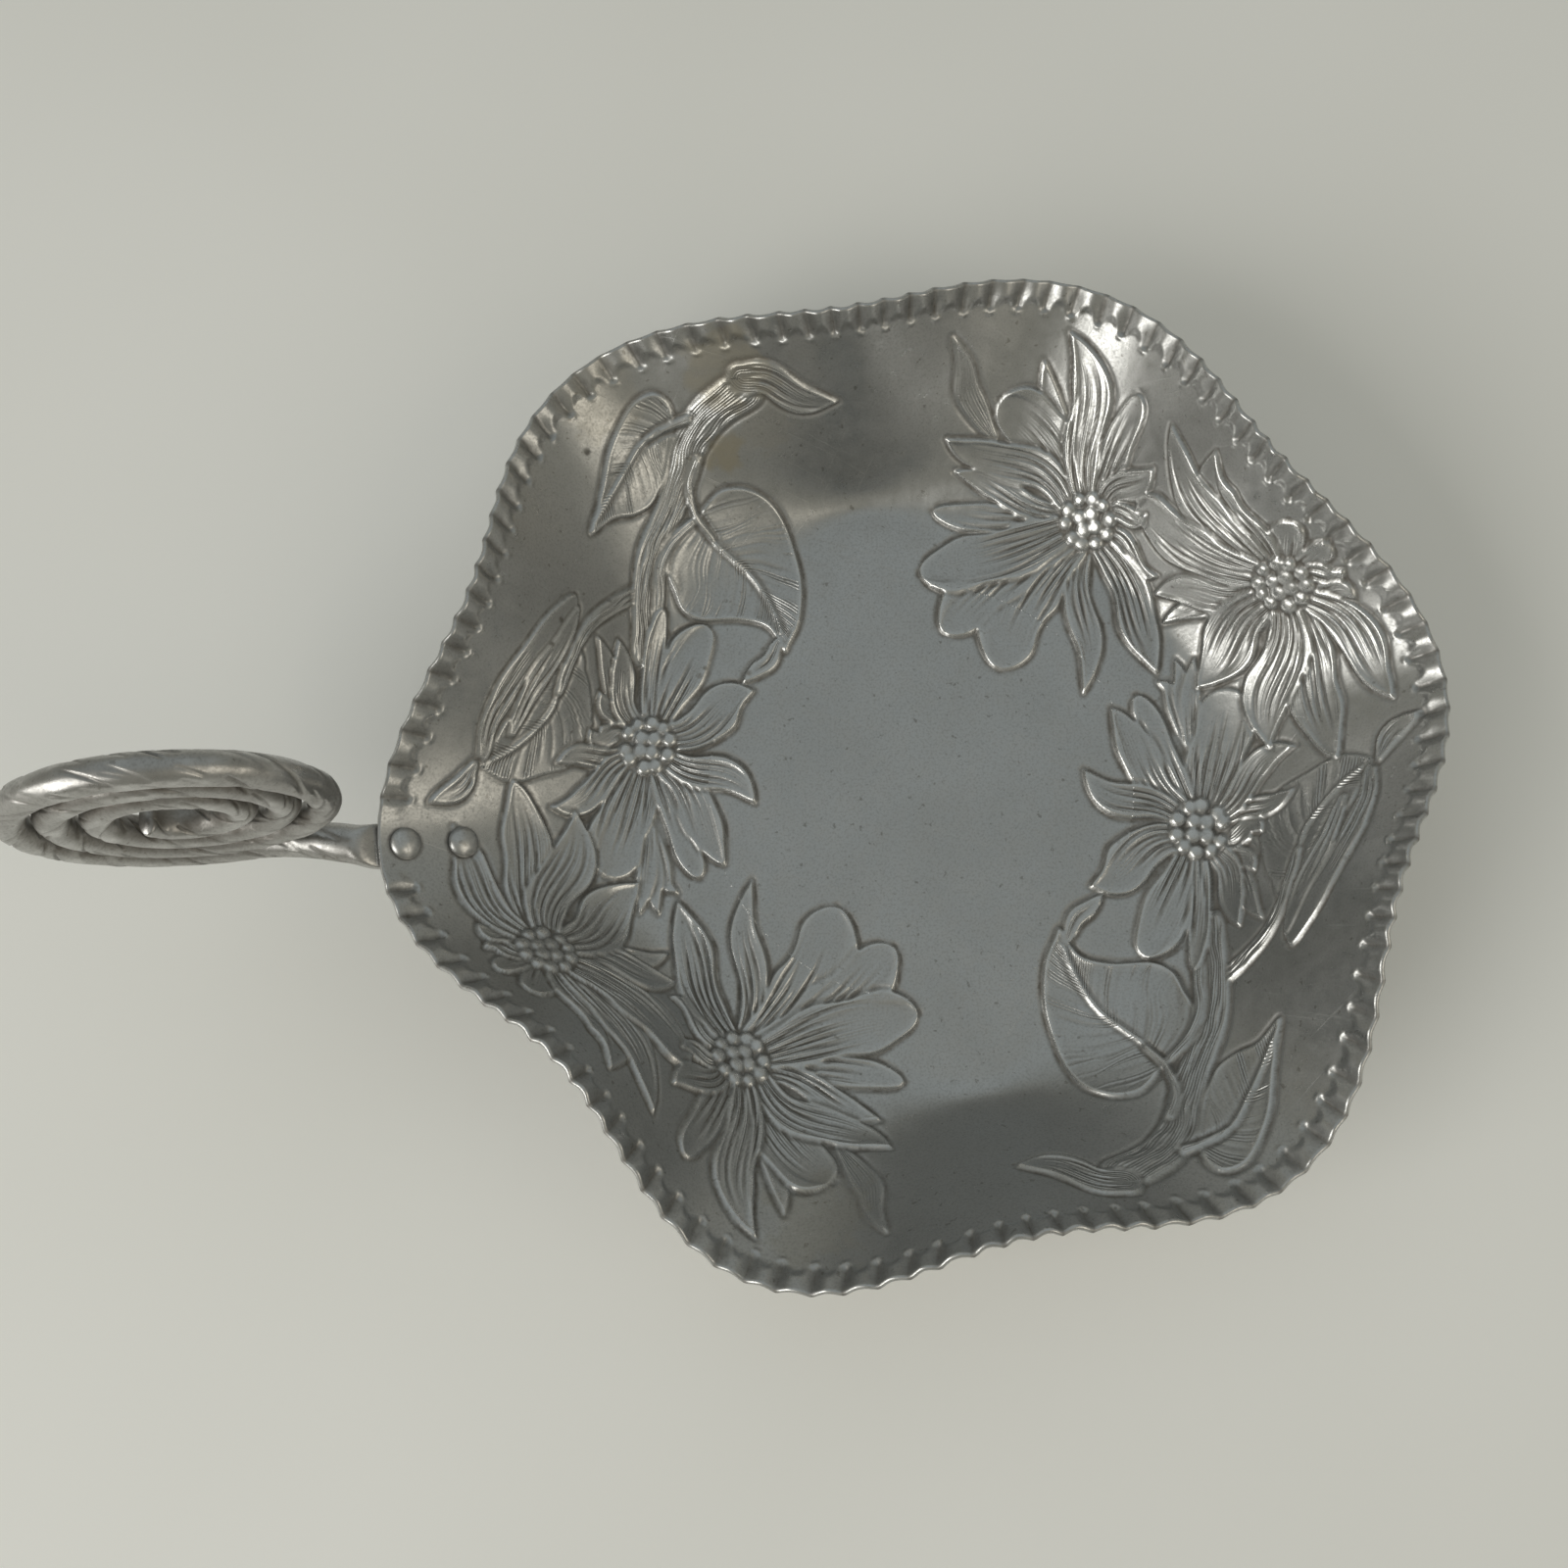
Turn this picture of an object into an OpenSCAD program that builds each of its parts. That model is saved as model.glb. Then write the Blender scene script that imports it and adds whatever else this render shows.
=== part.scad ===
// Fluted aluminium tray with a wound rod handle.
// The tray is one pressed sheet: flat base, six-lobed wall, crimped rim and raised sprays of flowers.
// The handle is one tapered rod, flattened into a tab at one end and wound into a flat coil at the other.
// Two domed rivets hold the tab against the outside of the wall.
// Millimetres, +Z up, origin at the centre of the base's underside, handle towards -X.

/* [Sheet] */
// Thickness of the sheet
sheet_t = 1.2; // [0.8:0.1:1.6]
// Mean radius of the rim, seen from above
rim_r = 108; // [106:0.5:110]
// Mean height of the rim's middle line above the base
rim_h = 42; // [38:1:46]
// Radius at which the straight wall would meet the base if the bend were sharp
knee_r = 74; // [70:1:76]
// Half width of the bend between base and wall in a valley
bend_valley = 6; // [4:1:12]
// Half width of the bend between base and wall at a lobe
bend_lobe = 20; // [12:1:22]

/* [Lobes] */
// Number of lobes round the rim
lobes = 6; // [5:1:7]
// How far a lobe stands out from the mean rim, and a valley in
lobe_reach = 8.1; // [6:0.1:9]
// How far a lobe dips below the mean rim, and a valley rises above it
lobe_drop = 7; // [5:0.5:9]
// Direction of the first lobe, in degrees from +X
lobe_dir = 10.5; // [8:0.5:13]

/* [Hand forming] */
// Shift of the rim against the base, towards the handle
rim_shift = 2.6; // [0:0.1:4]
// Direction of that shift, in degrees from +X
rim_shift_dir = 178; // [160:1:200]
// Uneven bending: how much the rim is oval
oval = 1.3; // [0:0.1:2]
// Direction of the oval's long axis
oval_dir = -42; // [-60:1:-30]
// Uneven bending from lobe to lobe
uneven = 1.2; // [0:0.1:2]
// Direction in which the uneven bending stands out most
uneven_dir = -16; // [-36:1:10]
// Uneven bending of every second lobe
three_way = 0.7; // [0:0.1:2]
// Direction in which every second lobe stands out most
three_way_dir = 52; // [30:1:70]

/* [Crimped rim] */
// Number of crimps round the rim
crimps = 108; // [96:1:116]
// Length of a crimp, measured along the wall
crimp_len = 6; // [4:0.5:8]
// Depth of a crimp from pad to groove
crimp_depth = 1.7; // [0.8:0.1:2]

/* [Relief] */
// Height of the ridges of petals, leaves and stems above the sheet
relief_h = 0.7; // [0.5:0.1:0.8]
// Radius of the beaded middle of a flower
heart_r = 6.7; // [5:0.1:8]
// Height of that middle above the sheet
heart_h = 1.3; // [0.8:0.1:1.5]

/* [Handle tab] */
// Direction of the rivets and the tab, in degrees from +X
handle_dir = 189.1; // [188:0.1:191]
// Width of the flattened tab
tab_w = 10; // [9:0.5:11]
// Thickness of the flattened tab
tab_t = 2.4; // [2:0.1:3]
// Air between the sheet and the tab
tab_gap = 0.1; // [0.05:0.05:0.3]
// Length of the tab past the inner rivet's axis
tab_end = 6.5; // [5:0.5:7]

/* [Handle coil] */
// Diameter of the rod where the coil starts
rod_d = 7; // [6:0.1:7]
// How much thinner the rod gets with each turn
rod_taper = 0.2; // [0.1:0.05:0.6]
// Number of turns
turns = 3.2; // [2.5:0.1:3.3]
// Radius of the rod's middle line where the coil starts
coil_r = 33.3; // [33:0.1:36]
// How far the middle line moves in during the first turn
coil_pitch = 7.3; // [7.3:0.05:7.6]
// How much faster it moves in with each turn
coil_close = 0.2; // [0.1:0.05:0.3]
// Place of the coil's middle along X
coil_x = -147; // [-152:1:-144]
// Place of the coil's middle along Y
coil_y = -18.4; // [-22:0.1:-16]
// Height of the rod's middle line under the coil
stem_h = 36; // [34:0.5:40]
// Direction of the coil's plane, in degrees from +X
coil_dir = 188; // [182:1:192]
// Lean of the coil's plane from upright
coil_lean = 1.5; // [0:0.5:6]

/* [Rivets] */
// Distance of the outer rivet from the tray's axis, seen from above
rivet_r = 114.9; // [114:0.1:115.5]
// Distance between the two rivets, along the wall
rivet_pitch = 13.4; // [12:0.1:14]
// Diameter of the rivet shanks
shank_d = 4; // [3:0.1:4.5]
// Diameter of the domed heads inside the tray
head_d = 7.1; // [6:0.1:7.6]
// Height of the domed heads
head_h = 2.1; // [1.5:0.1:2.5]
// Diameter of the closed heads behind the tab
tail_d = 6.4; // [5.5:0.1:7]
// Height of the closed heads
tail_h = 1.4; // [1:0.1:2]

/* [Hidden] */
$fn = 96;

sheet_colour = [0.62, 0.63, 0.63];
rod_colour = [0.56, 0.56, 0.55];
rivet_colour = [0.66, 0.66, 0.65];

// Radius inside which the base is flat in every direction, a little short of the widest bend.
flat_margin = 4;
flat_r = knee_r - bend_lobe - flat_margin;
// Clearances of the riveted joint: round the shank, under the domed head and under the closed head.
hole_d = shank_d + 0.1;
hole_len = 12;
head_seat = 0.4;
tail_seat = 0.03;
// The closed head's outer face, as a share of its diameter.
tail_face = 0.8;
// The sheet's grid: its columns, and rows set closer in the bend, counted in bend widths.
wall_columns = 90;
bend_rows = [-1.8, -0.8, -0.2, 0.4, 1];
above_rows = [1 / 3, 2 / 3, 1];
// Radius within which there is no relief.
plain_r = 32;
// Columns inside one crimp, at the rim.
crimp_steps = 3;
fine = crimps * crimp_steps;
// Steps in which a run along the sheet is measured.
run_steps = 30;
// How far up its length a crimp is drawn once more, and where it has its full depth.
crimp_first = 0.4;
crimp_full = 0.6;
// How rounded the crimps' pads are: a lower power makes them flatter.
pad_power = 0.8;
// Sides of the rod, rings in one turn of the coil and rings in the stem.
rod_sides = 12;
turn_rings = 24;
stem_rings = 14;
// Squareness of the flat tab's section and of the round rod's, as the power of a superellipse.
tab_square = 8;
rod_square = 2;

function mix(a, b, t) = a + (b - a) * t;
function ramp(t) = let (c = max(0, min(1, t))) c * c * (3 - 2 * c);
function unit(v) = v / norm(v);

// The sheet's middle surface.
function lobe_wave(a) = cos(lobes * (a - lobe_dir));
function rim_radius(a) =
    rim_r + lobe_reach * lobe_wave(a) + rim_shift * cos(a - rim_shift_dir)
    + oval * cos(2 * (a - oval_dir)) + three_way * cos(3 * (a - three_way_dir))
    + uneven * cos((lobes - 1) * (a - uneven_dir));
function rim_height(a) = rim_h - lobe_drop * lobe_wave(a);
function wall_slope(a) = rim_height(a) / (rim_radius(a) - knee_r);
function bend_width(a) = mix(bend_valley, bend_lobe, (1 + lobe_wave(a)) / 2);
function wall_height(a, r) =
    let (w = bend_width(a), x = max(0, min(1, (r - knee_r + w) / (2 * w))))
    wall_slope(a) * (2 * w * (pow(x, 3) - pow(x, 4) / 2) + max(0, r - knee_r - w));
function middle(a, r) = [r * cos(a), r * sin(a), sheet_t / 2 + wall_height(a, r)];

// The normal points up and into the tray.
function sheet_normal(a, r) =
    let (da = 0.05, dr = 0.02)
    unit(cross(middle(a, r + dr) - middle(a, r - dr), middle(a + da, r) - middle(a - da, r)));

// Crimps: rounded pads between sharp grooves, dying out where the tab is clamped.
function crimp_wave(a) = pow(abs(cos(crimps * (a - handle_dir) / 2)), pad_power) - 0.5;
function off_tab(a) =
    let (turn = abs((a - handle_dir + 540) % 360 - 180), reach = rim_r * turn * PI / 180)
    ramp((reach - tab_w / 2) / (tab_w / 2));
function crimp_start(a) = rim_radius(a) - crimp_len / sqrt(1 + pow(wall_slope(a), 2));

// The relief is drawn on the flat blank, before its wall is bent up.
// It is one spray, and the same one turned half round.
// A flower is its middle and its petals: [direction, length, width, bow of its middle line to the left].
flower_a = [42.5, 65];
petals_a = [
    [63, 33, 8, 0], [104, 40, 6, 0], [174, 38, 6, 1], [157, 35, 7, 1], [124, 37, 15, -3],
    [147, 41, 9.5, -3], [34, 23, 7.5, 1], [7, 16.5, 5, 0], [321, 22, 5.5, 0], [266, 43, 8, -1],
    [238, 43, 9.5, -3], [196, 42, 11, 1.5], [217, 44, 10, -2], [291, 41, 10.5, 2], [94, 45, 11.5, -3]
];
flower_b = [91.5, 45.5];
petals_b = [
    [68, 17, 9, 0], [30, 15.5, 6, 0], [3, 14.5, 5, 0], [336, 16.5, 5.5, 0], [106, 38, 12, 3],
    [191, 33, 6, -1], [120, 49, 10.5, 2], [178, 34, 8.5, 1], [144, 43, 12.5, 2], [280, 45, 12, -2],
    [303, 38, 9.5, 3], [222, 34, 13, -2], [257, 40, 12, -1]
];
flower_c = [65, -11];
petals_c = [
    [74, 34, 14, 0], [112, 35, 6.5, 0], [303, 31, 5.5, 1.5], [350, 16, 6, 0], [319, 19, 5.5, 0],
    [15, 24.5, 5.5, 0], [123, 35, 9, 2], [36, 29, 7, 2], [244, 33, 11, 1], [291, 27.5, 7.5, 2],
    [265, 34, 5.5, 1], [151, 30, 8, 1.5], [207, 29, 11, -1]
];
flowers = [[flower_a, petals_a], [flower_b, petals_b], [flower_c, petals_c]];
petal_foot = 4.6;
// Only petals of this width or more go into the solid.
// A leaf of the second width stays flat: raised, it would enter the clear space over the base.
main_w = 6;
wide_leaf = 25;
// Leaves and stems: [foot, tip, width on the left, width on the right, bow to the left].
leaves = [
    [[54, -70], [32.5, -33], 11, 17, 3], [[60, -88], [82.5, -62], 8, 8.5, -4],
    [[49, -106], [21, -101], 5, 6, -1], [[92, -29], [108, -1], 13, 8, 1],
    [[108, -4], [89, -46.5], 3, 4, 6], [[20, 86], [10, 113], 3, 3, -1],
    [[109.5, -1], [118.5, 9], 2.6, 2.6, -1], [[64, 8], [61.5, 30], 5, 5, 0],
    [[66, -30], [61, -70], 4, 4, 5], [[61.5, -64], [42, -100], 5, 5, 4], [[67, -48], [92, -20], 3, 3, -3]
];

// The blades of one spray, petals and leaves alike, each given as a leaf is.
function petal_blade(centre, petal) =
    let (out = [cos(petal[0]), sin(petal[0])])
    [centre + petal_foot * out, centre + petal[1] * out, petal[2] / 2, petal[2] / 2, petal[3]];
blades = concat(
    [for (f = flowers) for (q = f[1]) if (q[2] >= main_w) petal_blade(f[0], q)],
    [for (b = leaves) if (b[2] + b[3] < wide_leaf) b]);

// Half width of a blade along its length, as a share.
widest = 0.55;
foot_share = 0.3;
function blade_width(u) =
    u < widest ? sin(90 * mix(foot_share, 1, u / widest)) : cos(90 * (u - widest) / (1 - widest));

// A point of the sheet: side is 1 on the inside, -1 on the outside; crimp runs from 0 to 1 up the crimp.
function sheet_point(a, r, side, crimp = 0, lift = 0) =
    middle(a, r) + sheet_normal(a, r)
    * (side * sheet_t / 2 + lift + crimp * crimp_depth * off_tab(a) * crimp_wave(a));

// Lengths along the sheet from the axis, up one direction to the crimps: [length, radius].
function run_table(a) =
    let (step = (crimp_start(a) - plain_r) / run_steps)
    [for (i = 0, s = plain_r; i <= run_steps;
        s = s + norm(middle(a, plain_r + (i + 1) * step) - middle(a, plain_r + i * step)), i = i + 1)
        [s, plain_r + i * step]];

// A point of the blank on the inside of the bent sheet. It sinks into the sheet by the rivets and the crimps.
// The relief's edges lie a little way inside the sheet, and its underside a little deeper.
sink = 0.4;
deep = 0.6;
rivet_clear = 3;
crimp_clear = 5;
function off_rivets(p) =
    let (near = min([for (x = [0, -rivet_pitch]) norm(p - on_seat([x, 0, sheet_t / 2]))]))
    ramp((near - head_d / 2 - rivet_clear) / rivet_clear);
function on_sheet(p, lift) =
    let (a = atan2(p[1], p[0]), table = run_table(a), r = lookup(norm(p), table),
        clear = ramp((table[run_steps][0] - norm(p)) / crimp_clear) * off_rivets(middle(a, r)))
    sheet_point(a, r, 1, 0, min(lift, mix(-sink, lift, clear)));

// A blade is a row of rings whose edges lie in the sheet and whose ridge stands over it.
// The ridge rises and falls steeply at its ends, and the last ring is just short of the tip.
blade_step = 7;
blade_last = 0.97;
ridge_start = 12;
ridge_end = 4;
// The rest of a ring, from its right edge to its left: [share of the width on that side, depth].
blade_under = [[-1, sink], [-0.5, deep], [0, deep], [0.5, deep], [1, sink]];
function blade_side(b) = let (x = unit(b[1] - b[0])) [-x[1], x[0]];
function blade_line(b, u) = mix(b[0], b[1], u) + b[4] * sin(180 * u) * blade_side(b);
function blade_ring(b, u, turn) =
    let (line = blade_line(b, u), side = blade_width(u) * blade_side(b),
        lift = mix(-sink, relief_h, min(1, ridge_start * u, ridge_end * (1 - u))))
    concat(
        [on_sheet(turn * line, lift)],
        [for (v = blade_under) on_sheet(turn * (line + v[0] * (v[0] > 0 ? b[2] : b[3]) * side), -v[1])]);
module blade(b, turn) {
    n = max(2, round(norm(b[1] - b[0]) / blade_step));
    loft([for (i = [0 : n]) each blade_ring(b, blade_last * i / n, turn)], 1 + len(blade_under));
}

// The heart of a flower is a low dome of rings: [share of its radius, height].
heart_rings = [[0.5, -deep], [1, -sink], [0.75, 0.7 * heart_h], [0.25, heart_h]];
heart_sides = 10;
module heart(centre, turn) {
    loft([for (s = heart_rings, i = [0 : heart_sides - 1])
        let (b = 360 * i / heart_sides)
        on_sheet(turn * (centre + s[0] * heart_r * [cos(b), sin(b)]), s[1])], heart_sides);
}
module relief() {
    for (turn = [1, -1]) {
        for (b = blades) blade(b, turn);
        for (f = flowers) heart(f[0], turn);
    }
}

// Rows of points, each a full turn round the axis.
// The first column lies in the groove beside the tab's crimp.
function turn_of(j, n) = handle_dir + 180 / crimps + 360 * j / n;
wall_rows = 1 + len(bend_rows) + len(above_rows);
function wall_row(side, k) =
    [for (j = [0 : wall_columns - 1])
        let (a = turn_of(j, wall_columns), bend_top = knee_r + bend_valley,
            r = k == 0 ? flat_r
                : k <= len(bend_rows) ? knee_r + bend_rows[k - 1] * bend_valley
                : mix(bend_top, crimp_start(a), above_rows[k - 1 - len(bend_rows)]))
        sheet_point(a, r, side)];
function crimp_row(side, t) =
    [for (j = [0 : fine - 1])
        let (a = turn_of(j, fine))
        sheet_point(a, mix(crimp_start(a), rim_radius(a), t), side, ramp(t / crimp_full))];

// Triangles between a row of n points and a next row of m points, where m is n or more.
function near(j, n, m) = floor(j * n / m + 0.5) % n;
function strip(first, second, n, m) =
    [for (j = [0 : m - 1])
        let (p = first + near(j, n, m), q = first + near(j + 1, n, m), k = second + (j + 1) % m)
        each p == q ? [[p, second + j, k]] : [[p, second + j, k], [p, k, q]]];
function flip(faces) = [for (f = faces) [f[0], f[2], f[1]]];
function fan(centre, first, n) = [for (j = [0 : n - 1]) [centre, first + j, first + (j + 1) % n]];

// A closed solid over rings of points that all have the same number of sides.
module loft(points, sides) {
    last = len(points) - sides;
    tube = [for (first = [0 : sides : last - sides]) each strip(first, first + sides, sides, sides)];
    ends = concat(
        [for (k = [1 : sides - 2]) [0, k, k + 1]],
        [for (k = [1 : sides - 2]) [last, last + k + 1, last + k]]);
    polyhedron(points = points, faces = concat(tube, ends));
}

// Triangles of one side of the sheet, counted from the index of its centre point.
function side_faces(o) =
    let (crimp_o = o + 1 + wall_columns * wall_rows)
    concat(
        fan(o, o + 1, wall_columns),
        [for (k = [1 : wall_rows - 1])
            each strip(o + 1 + (k - 1) * wall_columns, o + 1 + k * wall_columns, wall_columns, wall_columns)],
        strip(crimp_o - wall_columns, crimp_o, wall_columns, fine),
        strip(crimp_o, crimp_o + fine, fine, fine));
function side_points(side) =
    concat(
        [[0, 0, sheet_t / 2 + side * sheet_t / 2]],
        [for (k = [0 : wall_rows - 1]) each wall_row(side, k)],
        crimp_row(side, crimp_first),
        crimp_row(side, 1));
module sheet_solid() {
    inside = side_points(1);
    n = len(inside);
    edge = strip(n - fine, 2 * n - fine, fine, fine);
    polyhedron(
        points = concat(inside, side_points(-1)),
        faces = concat(flip(side_faces(0)), side_faces(n), flip(edge)));
}

// The riveted seat: origin on the sheet's middle surface at the outer rivet,
// X up the wall, Z into the tray.
seat_z = sheet_normal(handle_dir, rivet_r - rivet_pitch / 3);
seat_run = middle(handle_dir, rivet_r) - middle(handle_dir, rivet_r - 1);
seat_y = unit(cross(seat_z, seat_run));
seat_x = cross(seat_y, seat_z);
seat_o = middle(handle_dir, rivet_r);
tab_mid = -(sheet_t / 2 + tab_gap + tab_t / 2);
function on_seat(p) = seat_o + p[0] * seat_x + p[1] * seat_y + p[2] * seat_z;

module at_seat(x) {
    o = on_seat([x, 0, 0]);
    multmatrix([for (i = [0 : 2]) [seat_x[i], seat_y[i], seat_z[i], o[i]]]) children();
}
module rivet_holes() {
    for (x = [0, -rivet_pitch]) at_seat(x) cylinder(h = hole_len, d = hole_d, center = true);
}

// The rod's middle line: a straight tab, a curve that levels it out, and a spiral in an upright plane.
coil_out = [cos(coil_dir), sin(coil_dir), 0];
coil_side = cross([0, 0, 1], coil_out);
coil_up = [0, 0, cos(coil_lean)] - sin(coil_lean) * coil_side;
coil_mid = [coil_x, coil_y, stem_h] + coil_r * coil_up;
function spiral_r(t) = coil_r - coil_pitch * t - coil_close * t * t;
function spiral_point(t) =
    coil_mid + spiral_r(t) * (cos(360 * t - 90) * coil_out + sin(360 * t - 90) * coil_up);
function rod_radius(t) = (rod_d - rod_taper * t) / 2;

// The tab runs straight for this length past the outer rivet's axis, with its last ring just before.
tab_lip = 4;
tab_last = 1;
tab_tip = on_seat([tab_lip, 0, tab_mid]);
stem_start = spiral_point(0);
stem_run = unit(spiral_point(0.01) - stem_start);
// Lengths of the two handles that shape the levelling curve.
level_in = 7;
level_out = 17;
function stem_point(t) =
    pow(1 - t, 3) * tab_tip + 3 * pow(1 - t, 2) * t * (tab_tip + level_in * seat_x)
    + 3 * (1 - t) * t * t * (stem_start - level_out * stem_run) + t * t * t * stem_start;

// One ring: [middle, half width, half thickness, squareness].
// The tab's inner end is rounded: [distance from the end, share of the width].
tab_back = -rivet_pitch - tab_end;
tab_round = [[0, 0.45], [0.6, 0.7], [1.8, 0.9], [4, 1], [tab_lip - tab_last - tab_back, 1]];
tab_list = [for (s = tab_round)
    [on_seat([tab_back + s[0], 0, tab_mid]), s[1] * tab_w / 2, tab_t / 2, tab_square]];
// The tab turns into a round rod over the stem, after its first tenth.
stem_flat = 0.1;
stem_list = [for (i = [0 : stem_rings - 1])
    let (t = i / stem_rings, g = ramp((t - stem_flat) / (1 - stem_flat)))
    [stem_point(t), mix(tab_w, rod_d, g) / 2, mix(tab_t, rod_d, g) / 2, mix(tab_square, rod_square, g)]];
// The last stretch of the coil is hammered flat, in turns, and then rounded off.
coil_rings = round(turns * turn_rings);
flat_turns = 0.35;
flat_wide = 1.15;
flat_thin = 0.65;
function flatness(t) = ramp((t - turns + flat_turns) / flat_turns);
coil_list = [for (i = [0 : coil_rings])
    let (t = i / turn_rings, r = rod_radius(t), f = flatness(t))
    [spiral_point(t), r * mix(1, flat_wide, f), r * mix(1, flat_thin, f), rod_square]];
coil_last = coil_list[coil_rings];
coil_run = unit(coil_last[0] - coil_list[coil_rings - 1][0]);
// The tip's rings: [distance past the last ring, share of its size].
tip_round = [[1, 0.85], [1.7, 0.5]];
tip_list = [for (s = tip_round)
    [coil_last[0] + s[0] * coil_run, s[1] * coil_last[1], s[1] * coil_last[2], rod_square]];
rod = concat(tab_list, stem_list, coil_list, tip_list);
rings = len(rod);

function power(v, e) = sign(v) * pow(abs(v), e);
function rod_ring(i) =
    let (run = unit(rod[min(i + 1, rings - 1)][0] - rod[max(i - 1, 0)][0]),
        lean = mix(seat_y, coil_side, ramp((i - len(tab_list)) / stem_rings)),
        across = unit(lean - (lean * run) * run),
        over = cross(run, across))
    [for (k = [0 : rod_sides - 1])
        let (b = 360 * (k + 0.5) / rod_sides, e = 2 / rod[i][3])
        rod[i][0] + rod[i][1] * power(cos(b), e) * across + rod[i][2] * power(sin(b), e) * over];

module rod_solid() {
    loft([for (i = [0 : rings - 1]) each rod_ring(i)], rod_sides);
}

// Least air between the coil's turns, measured on its points.
turn_air = [for (i = [0 : coil_rings - turn_rings])
    min([for (k = [turn_rings * 3 / 4 : coil_rings - i])
        norm(coil_list[i][0] - coil_list[i + k][0]) - coil_list[i][2] - coil_list[i + k][2]])];
echo(least_air_between_turns = min(turn_air));

module rivet() {
    ball = (pow(head_d / 2, 2) + pow(head_h, 2)) / (2 * head_h);
    head_z = sheet_t / 2 + head_seat;
    tail_z = -(sheet_t / 2 + tab_gap + tab_t + tail_seat);
    translate([0, 0, tail_z]) cylinder(h = head_z - tail_z, d = shank_d);
    translate([0, 0, head_z]) intersection() {
        translate([0, 0, head_h - ball]) sphere(r = ball);
        cylinder(h = head_h, d = head_d);
    }
    translate([0, 0, tail_z - tail_h]) cylinder(h = tail_h, d1 = tail_d * tail_face, d2 = tail_d);
}

// Sheet and relief are one mesh, and the rivet holes are then cut from it as true cylinders.
module tray() {
    color(sheet_colour) difference() {
        resize([0, 0, 0]) {
            sheet_solid();
            relief();
        }
        rivet_holes();
    }
}
module coil_handle() {
    color(rod_colour) difference() {
        rod_solid();
        rivet_holes();
    }
}
module rivet_outer() {
    color(rivet_colour) at_seat(0) rivet();
}
module rivet_inner() {
    color(rivet_colour) at_seat(-rivet_pitch) rivet();
}

tray();
coil_handle();
rivet_outer();
rivet_inner();
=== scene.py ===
"""Looks of a fluted aluminium tray with a wound rod handle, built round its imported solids.

Lengths in the functions below are millimetres and angles degrees, as in the part's own source.
Meshes are written in metres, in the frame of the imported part.
"""
import math

import bpy
import numpy as np
from mathutils import Matrix


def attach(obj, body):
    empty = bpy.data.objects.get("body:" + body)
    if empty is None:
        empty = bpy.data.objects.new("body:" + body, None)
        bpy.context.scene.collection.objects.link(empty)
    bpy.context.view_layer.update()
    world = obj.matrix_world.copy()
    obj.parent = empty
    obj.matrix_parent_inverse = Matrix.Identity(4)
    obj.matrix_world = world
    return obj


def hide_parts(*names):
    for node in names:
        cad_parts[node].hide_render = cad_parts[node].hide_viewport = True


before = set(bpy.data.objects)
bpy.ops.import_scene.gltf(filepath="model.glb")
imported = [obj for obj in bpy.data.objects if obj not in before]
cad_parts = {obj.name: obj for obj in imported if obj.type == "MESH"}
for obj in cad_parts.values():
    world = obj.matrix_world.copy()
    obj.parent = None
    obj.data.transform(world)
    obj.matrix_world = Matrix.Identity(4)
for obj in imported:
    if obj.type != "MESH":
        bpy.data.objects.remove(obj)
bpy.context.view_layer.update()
MM = 0.001
rng = np.random.default_rng(11)

# The sheet, as in the part's source.
sheet_t = 1.2
rim_r = 108
rim_h = 42
knee_r = 74
bend_valley = 6
bend_lobe = 20
lobes = 6
lobe_reach = 8.1
lobe_drop = 7
lobe_dir = 10.5
rim_shift = 2.6
rim_shift_dir = 178
oval = 1.3
oval_dir = -42
uneven = 1.2
uneven_dir = -16
three_way = 0.7
three_way_dir = 52
crimps = 108
crimp_len = 6
crimp_depth = 1.7

# The handle and its rivets, as in the part's source.
handle_dir = 189.1
tab_w = 10
tab_t = 2.4
tab_gap = 0.1
tab_end = 6.5
tab_lip = 4
rod_d = 7
rod_taper = 0.2
turns = 3.2
coil_r = 33.3
coil_pitch = 7.3
coil_close = 0.2
coil_x = -147
coil_y = -18.4
stem_h = 36
coil_dir = 188
coil_lean = 1.5
level_in = 7
level_out = 17
rivet_r = 114.9
rivet_pitch = 13.4
shank_d = 4
head_d = 7.1
head_h = 2.1
head_seat = 0.4
tail_d = 6.4
tail_h = 1.4
tail_seat = 0.03


# Small helpers.
def mix(a, b, t):
    return a + (b - a) * t


def ramp(t):
    c = np.clip(t, 0, 1)
    return c * c * (3 - 2 * c)


def hump(x, centre, width):
    return np.exp(-(((x - centre) / width) ** 2))


def unit(v):
    v = np.asarray(v, float)
    return v / np.linalg.norm(v, axis=-1, keepdims=True)


def wave(degrees):
    return np.cos(np.radians(degrees))


def blur(field, sigma):
    """Gaussian blur of a field whose edges are empty, with sigma in cells."""
    fy = np.fft.fftfreq(field.shape[0])[:, None]
    fx = np.fft.rfftfreq(field.shape[1])[None, :]
    soft = np.exp(-2 * (math.pi * sigma) ** 2 * (fx * fx + fy * fy))
    return np.fft.irfft2(np.fft.rfft2(field) * soft, field.shape)


NOISE_CELLS = 256
noise_table = rng.uniform(-1, 1, (NOISE_CELLS, NOISE_CELLS))


def noise(x, y):
    """Smooth noise from -1 to 1, with cells one unit wide."""
    i, j = np.floor(x).astype(int), np.floor(y).astype(int)
    u, v = ramp(x - i), ramp(y - j)
    i0, j0 = i % NOISE_CELLS, j % NOISE_CELLS
    i1, j1 = (i + 1) % NOISE_CELLS, (j + 1) % NOISE_CELLS
    low = mix(noise_table[i0, j0], noise_table[i1, j0], u)
    high = mix(noise_table[i0, j1], noise_table[i1, j1], u)
    return mix(low, high, v)


# The sheet's middle surface.
def lobe_wave(a):
    return wave(lobes * (a - lobe_dir))


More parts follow.
